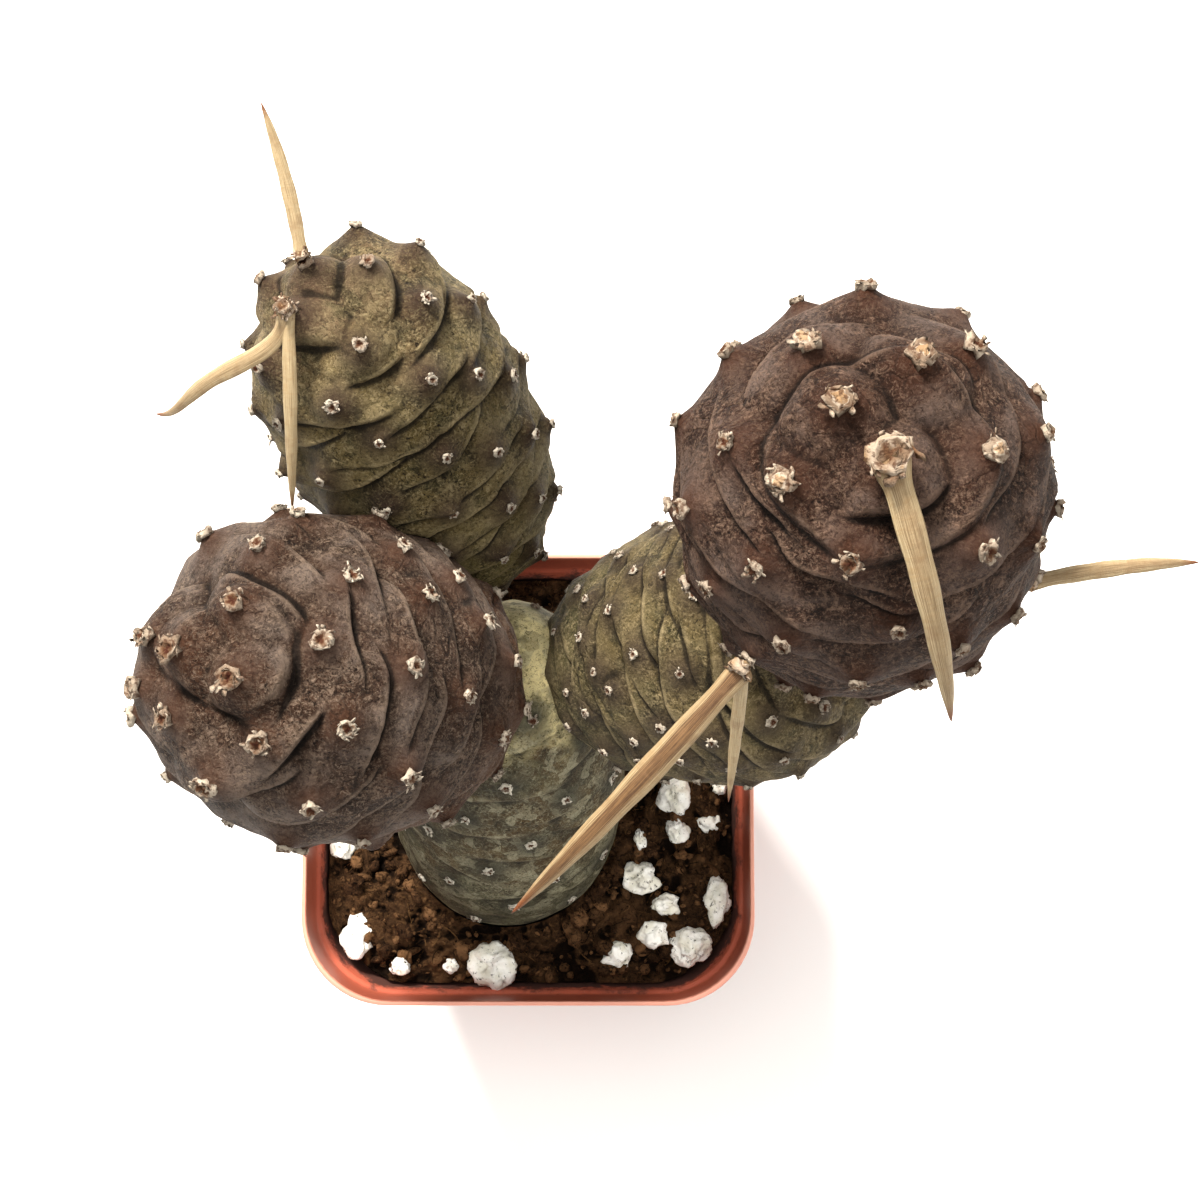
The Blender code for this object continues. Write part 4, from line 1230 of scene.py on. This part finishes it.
def finished(made, paint, height, strength, distance, roughness=None):
    """A material whose shader is fed its colour, its relief and, where it varies, its roughness."""
    tree, shader = made.node_tree, made.node_tree.nodes["Principled BSDF"]
    tree.links.new(paint, shader.inputs["Base Color"])
    if roughness:
        tree.links.new(roughness, shader.inputs["Roughness"])
    inputs = {"Height": height, "Strength": strength, "Distance": distance}
    tree.links.new(node(tree, "Bump", inputs).outputs[0], shader.inputs["Normal"])
    return made


# The segments' looks. Colours, as screen values: at the foot, half way and at the tip, in blotches,
# in patches of bloom, on the corky scurf, which also paints the highlight on each scale's lip, in the
# creases as painted shade and in fine dark specks, round the areoles and along the veins.
# Then where up the segment the middle's colour starts and is full and where the tip's is, the
# heights between which the foot's colour comes back lower down as painted shade warmed by light
# reflected from the mix, the shares of bloom, mottling, veins and facets, and the depth of the fine relief
LOOKS = {
    # The base's pale tip is partly its own pale olive and partly painted light, made paler to lift the
    # shade that the segments above cast on it
    "stem_base": dict(
        foot=(87, 84, 63), middle=(68, 51, 26), tip=(214, 198, 144), blotch=(44, 40, 27),
        bloom=(98, 91, 67), scurf=(154, 149, 123), crease_shade_and_speck=(24, 22, 14), halo=(42, 42, 35),
        vein=(150, 146, 124), turns=(0.64, 0.76, 1.03, 1.13), under=(0.03, 0.02), bloomed=0.4,
        mottle=0.5, veined=0.1, facets=0.45, depth=0.5,
    ),
    "stem_right_lower": dict(
        foot=(58, 58, 34), middle=(78, 66, 39), tip=(90, 72, 44), blotch=(42, 42, 24),
        bloom=(106, 93, 63), scurf=(146, 130, 98), crease_shade_and_speck=(15, 10, 5), halo=(44, 34, 28),
        vein=(128, 112, 82), turns=(0.5, 0.8, 1.0, 1.2), under=(0.108, 0.09), bloomed=0.65,
        mottle=0.6, veined=0.08, facets=0.15, depth=0.6,
    ),
    "stem_right_upper": dict(
        foot=(54, 34, 23), middle=(56, 35, 24), tip=(63, 41, 29), blotch=(31, 16, 9),
        bloom=(112, 95, 86), scurf=(128, 103, 86), crease_shade_and_speck=(13, 7, 4), halo=(70, 42, 28),
        vein=(20, 12, 8), turns=(0.5, 0.8, 1.15, 1.3), under=(0.158, 0.14), bloomed=0.75,
        mottle=0.85, veined=0.3, facets=0.15, depth=1.0,
    ),
    "stem_front_left": dict(
        foot=(98, 62, 36), middle=(70, 51, 39), tip=(75, 49, 33), blotch=(38, 24, 15),
        bloom=(120, 107, 98), scurf=(137, 117, 100), crease_shade_and_speck=(13, 8, 5), halo=(72, 45, 30),
        vein=(24, 16, 12), turns=(0.45, 0.7, 1.06, 1.22), under=(0.126, 0.108), bloomed=0.75,
        mottle=0.9, veined=0.35, facets=0.15, depth=1.0,
    ),
    "stem_back_left": dict(
        foot=(104, 94, 52), middle=(96, 82, 48), tip=(110, 88, 66), blotch=(54, 52, 31),
        bloom=(130, 116, 82), scurf=(154, 138, 103), crease_shade_and_speck=(15, 11, 6), halo=(46, 31, 27),
        vein=(34, 28, 17), turns=(0.4, 0.7, 0.96, 1.16), under=(0.118, 0.1), bloomed=0.6,
        mottle=0.75, veined=0.15, facets=0.2, depth=0.8,
    ),
}


def flesh(name, scurf, crinkle):
    """A segment's skin: three colours up its length, blotches, facets and patches of bloom, fine
    mottling and veins that come and go, tinted skin round the areoles, painted shade in the creases
    and low down, and a painted highlight on each scale's lip."""
    look = LOOKS[name]
    made, tree, vector = material(f"flesh_{name[5:]}", 0.8, Specular_IOR_Level=0.12)
    blotch = noise(tree, vector, 130.0, 5.0, 0.6)
    patch = noise(tree, vector, 95.0, 5.0, 0.66, 0.6)
    mottle = noise(tree, vector, 600.0, 8.0, 0.76, 1.0)
    grain = noise(tree, vector, 1900.0, 4.0, 0.8, 1.2)
    high, ridge, near = (mark(tree, name) for name in ("high", "ridge", "halo"))
    cells = grouped(tree, crinkle, vector, Size=480.0)
    specks = grouped(tree, scurf, vector, Size=2300.0, Patch_Size=240.0, Share=0.3)["Mask"]
    up = plus(tree, mark(tree, "along"), blotch, 0.5)
    level = plus(tree, node(tree, "SeparateXYZ", {"Vector": vector}).outputs["Z"], blotch, 0.02)
    first, second, third, fourth = look["turns"]
    start, end = look["under"]

    bloom = times(tree, ramp(tree, patch, 0.44, 0.6, 0.0, look["bloomed"]), ramp(tree, high, 0.3, 0.6))
    bloom = times(tree, bloom, ramp(tree, up, third, fourth, 1.0, 0.35))
    halo = times(tree, near, ramp(tree, blotch, 0.3, 0.5, 0.75, 1.0))
    calm = times(tree, ramp(tree, halo, 0.1, 0.7, 1.0, 0.6), ramp(tree, patch, 0.58, 0.42, 0.65, 1.0))
    share = times(tree, calm, look["mottle"])
    veins = times(tree, cells["Border"], ramp(tree, patch, 0.58, 0.44, 0.2, 1.0))
    # The scurf colour on each scale's lip, where the ridge mark is high, is a painted highlight
    lip_highlight = times(tree, ramp(tree, ridge, 0.58, 0.92, 0.0, 0.42), ramp(tree, near, 0.4, 0.05))

    paint = mixed(tree, ramp(tree, up, first, second), look["foot"], look["middle"])
    for cover, tint in (
        (ramp(tree, up, third, fourth), "tip"),
        (ramp(tree, noise(tree, vector, 260.0, 4.0), 0.46, 0.62, 0.0, 0.7), "blotch"),
        (bloom, "bloom"),
        (ramp(tree, cells["Cell"], 0.6, 0.9, 0.0, look["facets"]), "scurf"),
        (ramp(tree, cells["Cell"], 0.4, 0.1, 0.0, look["facets"]), "blotch"),
        # The foot's colour again low down, by height: painted shade warmed by light reflected from the mix
        (ramp(tree, level, start + 0.01, end + 0.01, 0.0, 0.7), "foot"),
        (times(tree, ramp(tree, mottle, 0.5, 0.36), share), "blotch"),
        (times(tree, ramp(tree, mottle, 0.52, 0.66), share), "scurf"),
        (times(tree, halo, 0.8), "halo"),
        (times(tree, specks, share), "scurf"),
        # Fine dark specks, in the colour that also paints the shade in the creases
        (times(tree, ramp(tree, grain, 0.48, 0.38), calm), "crease_shade_and_speck"),
        (times(tree, ramp(tree, grain, 0.54, 0.64), share), "scurf"),
        (times(tree, halo, 0.45), "halo"),
        (times(tree, veins, look["veined"]), "vein"),
        # Darker colour in the hollows of the high mark and the ridge mark: painted shade in the creases
        (ramp(tree, high, 0.42, 0.05, 0.0, 0.45), "crease_shade_and_speck"),
        (ramp(tree, ridge, 0.42, 0.1, 0.0, 0.8), "crease_shade_and_speck"),
        (lip_highlight, "scurf"),
    ):
        paint = mixed(tree, cover, paint, look[tint])
    height = times(tree, mottle, 1.6)
    for value, depth in ((cells["Height"], 0.5), (veins, -0.4), (grain, 0.8)):
        height = plus(tree, height, value, depth)
    return finished(made, paint, height, look["depth"], 0.0007, ramp(tree, specks, 0.0, 1.0, 0.68, 0.9))


def wool_look():
    """Areole wool: red-brown in the pit, brown on the cushion, cream on the torn scales and tan on
    the stubs, all but the pit greyish white where the wool is pale, with dark flecks."""
    made, tree, vector = material("areole_wool", 0.9, Specular_IOR_Level=0.1)
    tone = mark(tree, "tone")
    paint = coats(
        tree,
        mixed(tree, ramp(tree, tone, 0.0, 0.6), (58, 30, 20), (92, 66, 46)),
        (tone, 0.6, 1.0, (112, 92, 74), 1.0),
        (tone, 1.0, 1.4, (158, 142, 124), 1.0),
        (tone, 1.5, 1.9, (138, 108, 76), 1.0),
    )
    paint = mixed(tree, times(tree, mark(tree, "pale"), ramp(tree, tone, 0.3, 0.9)), paint, (206, 200, 184))
    paint = coats(tree, paint, (noise(tree, vector, 1500.0, 3.0), 0.5, 0.36, (66, 42, 29), 0.8))
    return finished(made, paint, noise(tree, vector, 5000.0, 3.0), 0.7, 0.0003)


def paper_look():
    """A papery spine: pale straw with long fibres and faint bands across, browner all over and
    streaky along the middle where it is marked so, and brown at the root and the tip."""
    made, tree, vector = material("papery_spine", 0.6, Specular_IOR_Level=0.25)
    along, across, brown = (mark(tree, name) for name in ("along", "across", "brown"))

    def stretched(lengthways, crossways, *look):
        place = {"X": times(tree, along, lengthways), "Y": times(tree, across, crossways)}
        return noise(tree, node(tree, "CombineXYZ", place).outputs[0], *look)

    fibres = stretched(2.5, 6.0, 2.2, 6.0, 0.7)
    bands = stretched(60.0, 0.8, 1.0, 2.0)
    side = node(tree, "Math", {0: across}, operation="ABSOLUTE").outputs[0]
    middle = times(tree, ramp(tree, plus(tree, side, fibres, 0.9), 1.2, 0.8), brown)
    streaks = mixed(tree, ramp(tree, fibres, 0.42, 0.58), (68, 46, 29), (112, 84, 54))
    paint = mixed(tree, ramp(tree, fibres, 0.36, 0.64), (134, 114, 82), (176, 158, 124))
    paint = coats(tree, paint, (bands, 0.5, 0.66, (150, 122, 82), 0.35))
    paint = mixed(tree, times(tree, brown, 0.4), paint, (118, 94, 64))
    paint = coats(
        tree,
        mixed(tree, middle, paint, streaks),
        (fibres, 0.48, 0.3, (98, 74, 48), 0.5),
        (noise(tree, vector, 420.0, 3.0), 0.52, 0.7, (112, 84, 56), 0.4),
        (along, 0.86, 0.99, (104, 54, 24), 1.0),
        (along, 0.07, 0.0, (96, 64, 36), 0.6),
    )
    return finished(made, paint, plus(tree, fibres, bands, 0.5), 0.5, 0.0004)


def plastic_look():
    """The pot: orange-red matt plastic with faint flow marks and fine grain, a paler rim top that is a
    painted highlight, and mix smeared on the inner wall."""
    made, tree, vector = material("pot_plastic", 0.42, Specular_IOR_Level=0.45)
    high = node(tree, "SeparateXYZ", {"Vector": vector}).outputs["Z"]
    flow = noise(tree, vector, 60.0, 4.0, 0.6)
    scuff = noise(tree, vector, 900.0, 4.0, 0.7)
    smear = plus(tree, high, noise(tree, vector, 320.0, 5.0, 0.7), -0.012)
    dirt = times(tree, ramp(tree, smear, 0.0478, 0.045, 0.0, 0.9), mark(tree, "inside"))
    paint = coats(
        tree,
        mixed(tree, ramp(tree, flow, 0.35, 0.65), (160, 78, 58), (176, 90, 68)),
        (scuff, 0.58, 0.8, (206, 136, 114), 0.35),
        # The paler rim top is a painted highlight
        (plus(tree, high, scuff, 0.0006), 0.0616, 0.0623, (214, 148, 126), 0.8),
    )
    paint = mixed(tree, dirt, paint, (44, 26, 18))
    roughness = ramp(tree, dirt, 0.0, 0.6, 0.42, 0.85)
    return finished(made, paint, noise(tree, vector, 2600.0, 2.0), 0.12, 0.0002, roughness)


def mix_look(crinkle):
    """The potting mix: painted shade, near black, in its hollows, dark brown lumps and reddish bits of
    bark.
    """
    made, tree, vector = material("mix_body", 0.95, Specular_IOR_Level=0.05)
    coarse = noise(tree, vector, 260.0, 5.0, 0.65)
    fine = noise(tree, vector, 1100.0, 6.0, 0.75, 0.8)
    paint = coats(
        tree,
        mixed(tree, ramp(tree, coarse, 0.35, 0.65), (58, 40, 26), (98, 70, 46)),
        (fine, 0.52, 0.68, (140, 104, 68), 0.7),
        # Near black in the low places of the mix: painted shade
        (plus(tree, mark(tree, "lump"), coarse, 0.4), 0.74, 0.46, (14, 8, 5), 0.92),
        (fine, 0.46, 0.34, (15, 9, 5), 1.0),
    )
    height = plus(tree, grouped(tree, crinkle, vector, Size=900.0)["Height"], fine, 1.5)
    return finished(made, paint, height, 1.0, 0.0012)


def crumb_look(name, dark, pale):
    """Loose bits on the mix: each one has its own tone between two browns."""
    made, tree, vector = material(name, 0.92, Specular_IOR_Level=0.05)
    fine = noise(tree, vector, 1300.0, 6.0, 0.78, 0.8)
    paint = coats(
        tree,
        mixed(tree, ramp(tree, mark(tree, "tone"), 0.2, 1.0), dark, pale),
        (fine, 0.52, 0.66, pale, 0.6),
        (fine, 0.5, 0.38, (18, 10, 6), 1.0),
    )
    return finished(made, paint, fine, 1.0, 0.0012)


def perlite_look():
    """Perlite: chalky white with grey pits and dark specks of mix."""
    made, tree, vector = material("perlite_white", 0.9, Specular_IOR_Level=0.2)
    shade = ramp(tree, noise(tree, vector, 400.0, 3.0), 0.4, 0.65)
    paint = coats(
        tree,
        mixed(tree, shade, (250, 249, 242), (226, 223, 208)),
        (noise(tree, vector, 1500.0, 4.0, 0.75), 0.58, 0.66, (56, 45, 35), 1.0),
        (mark(tree, "pit"), 0.1, 0.5, (96, 84, 70), 0.6),
    )
    return finished(made, paint, noise(tree, vector, 1800.0, 4.0, 0.7), 0.7, 0.0005)


def wear(pieces, look):
    """Gives pieces a material."""
    for piece in pieces:
        piece.data.materials.append(look)


# The camera: where it is, what it looks at and its lens, in metres and mm
CAMERA_PLACE = (0.0110, -0.0114, 0.392)
CAMERA_AIM = (0.0110, 0.0275, 0.062)
CAMERA_LENS = 64.07
CAMERA_SENSOR = 36
CAMERA_NEAR = 0.01
FLOOR_HALF = 3.0
FLOOR_COLOUR = (0.86, 0.86, 0.85, 1)


def set_camera():
    """The camera, high above the plant and a little in front."""
    data = bpy.data.cameras.new("camera")
    camera = linked("camera", data)
    aimed(camera, CAMERA_PLACE, CAMERA_AIM)
    data.lens = CAMERA_LENS
    data.sensor_width = CAMERA_SENSOR
    data.clip_start = CAMERA_NEAR
    bpy.context.scene.camera = camera


def set_floor():
    """A pale floor under the pot."""
    mesh = bpy.data.meshes.new("floor")
    corners = [(-1, -1, 0), (1, -1, 0), (1, 1, 0), (-1, 1, 0)]
    mesh.from_pydata([tuple(c * FLOOR_HALF for c in corner) for corner in corners], [], [(0, 1, 2, 3)])
    mesh.materials.append(material("floor_pale", 0.9, Base_Color=FLOOR_COLOUR)[0])
    floor = linked("floor", mesh)


# The lights: place, size, power and colour, and where they aim. Then the light from all round
LIGHTS = [
    ("key", (-0.35, 0.7, 0.9), 0.3, 40.0, (1.0, 0.95, 0.88)),
    ("fill", (0.6, -0.6, 0.9), 0.9, 9.0, (1.0, 0.98, 0.95)),
    ("top", (-0.1, 0.2, 1.4), 0.8, 12.0, (1.0, 0.98, 0.94)),
]
LIGHT_AIM = (0, 0, 0.08)
WORLD_COLOUR = (1.0, 0.98, 0.95, 1)
WORLD_STRENGTH = 0.36


def set_lights():
    """Round lights from behind, from in front and from overhead, and a pale surrounding."""
    for name, place, size, power, tint in LIGHTS:
        data = bpy.data.lights.new(name, "AREA")
        data.shape = "DISK"
        data.size = size
        data.energy = power
        data.color = tint
        aimed(linked(name, data), place, LIGHT_AIM)
    world = bpy.data.worlds.new("surrounding")
    world.use_nodes = True
    back = world.node_tree.nodes["Background"]
    back.inputs["Color"].default_value = WORLD_COLOUR
    back.inputs["Strength"].default_value = WORLD_STRENGTH
    bpy.context.scene.world = world
    bpy.context.scene.view_settings.view_transform = "Standard"


def build():
    """Makes every piece, gives each its material and sets the stage."""
    scurf, crinkle = scurf_group(), crinkle_group()
    rng = np.random.default_rng(SEED)
    wool = wool_look()
    paper = paper_look()
    earlier = []
    for name in STEMS:
        wear([make_stem(name, earlier)], flesh(name, scurf, crinkle))
        wear(make_tufts(name, rng), wool)
        earlier.append(name)
    wear([make_spine(name) for name in SPINES], paper)
    wear(make_collars(rng), wool)
    wear([make_pot()], plastic_look())
    wear([make_soil()], mix_look(crinkle))
    bits = [make_bits(name, rng) for name in BITS]
    wear(bits, crumb_look("mix_bits", (62, 42, 27), (134, 98, 66)))
    wear([make_fibres(rng)], crumb_look("mix_threads", (44, 29, 17), (120, 88, 56)))
    wear([make_grain(number) for number in range(len(GRAINS))], perlite_look())
    set_floor()
    set_lights()
    set_camera()


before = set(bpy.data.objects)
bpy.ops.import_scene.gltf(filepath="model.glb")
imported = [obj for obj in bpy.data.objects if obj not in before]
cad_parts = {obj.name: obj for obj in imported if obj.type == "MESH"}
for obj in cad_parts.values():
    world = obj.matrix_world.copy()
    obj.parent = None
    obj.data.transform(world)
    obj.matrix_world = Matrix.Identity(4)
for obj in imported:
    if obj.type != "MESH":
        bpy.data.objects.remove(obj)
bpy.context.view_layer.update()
build()
bpy.context.view_layer.update()
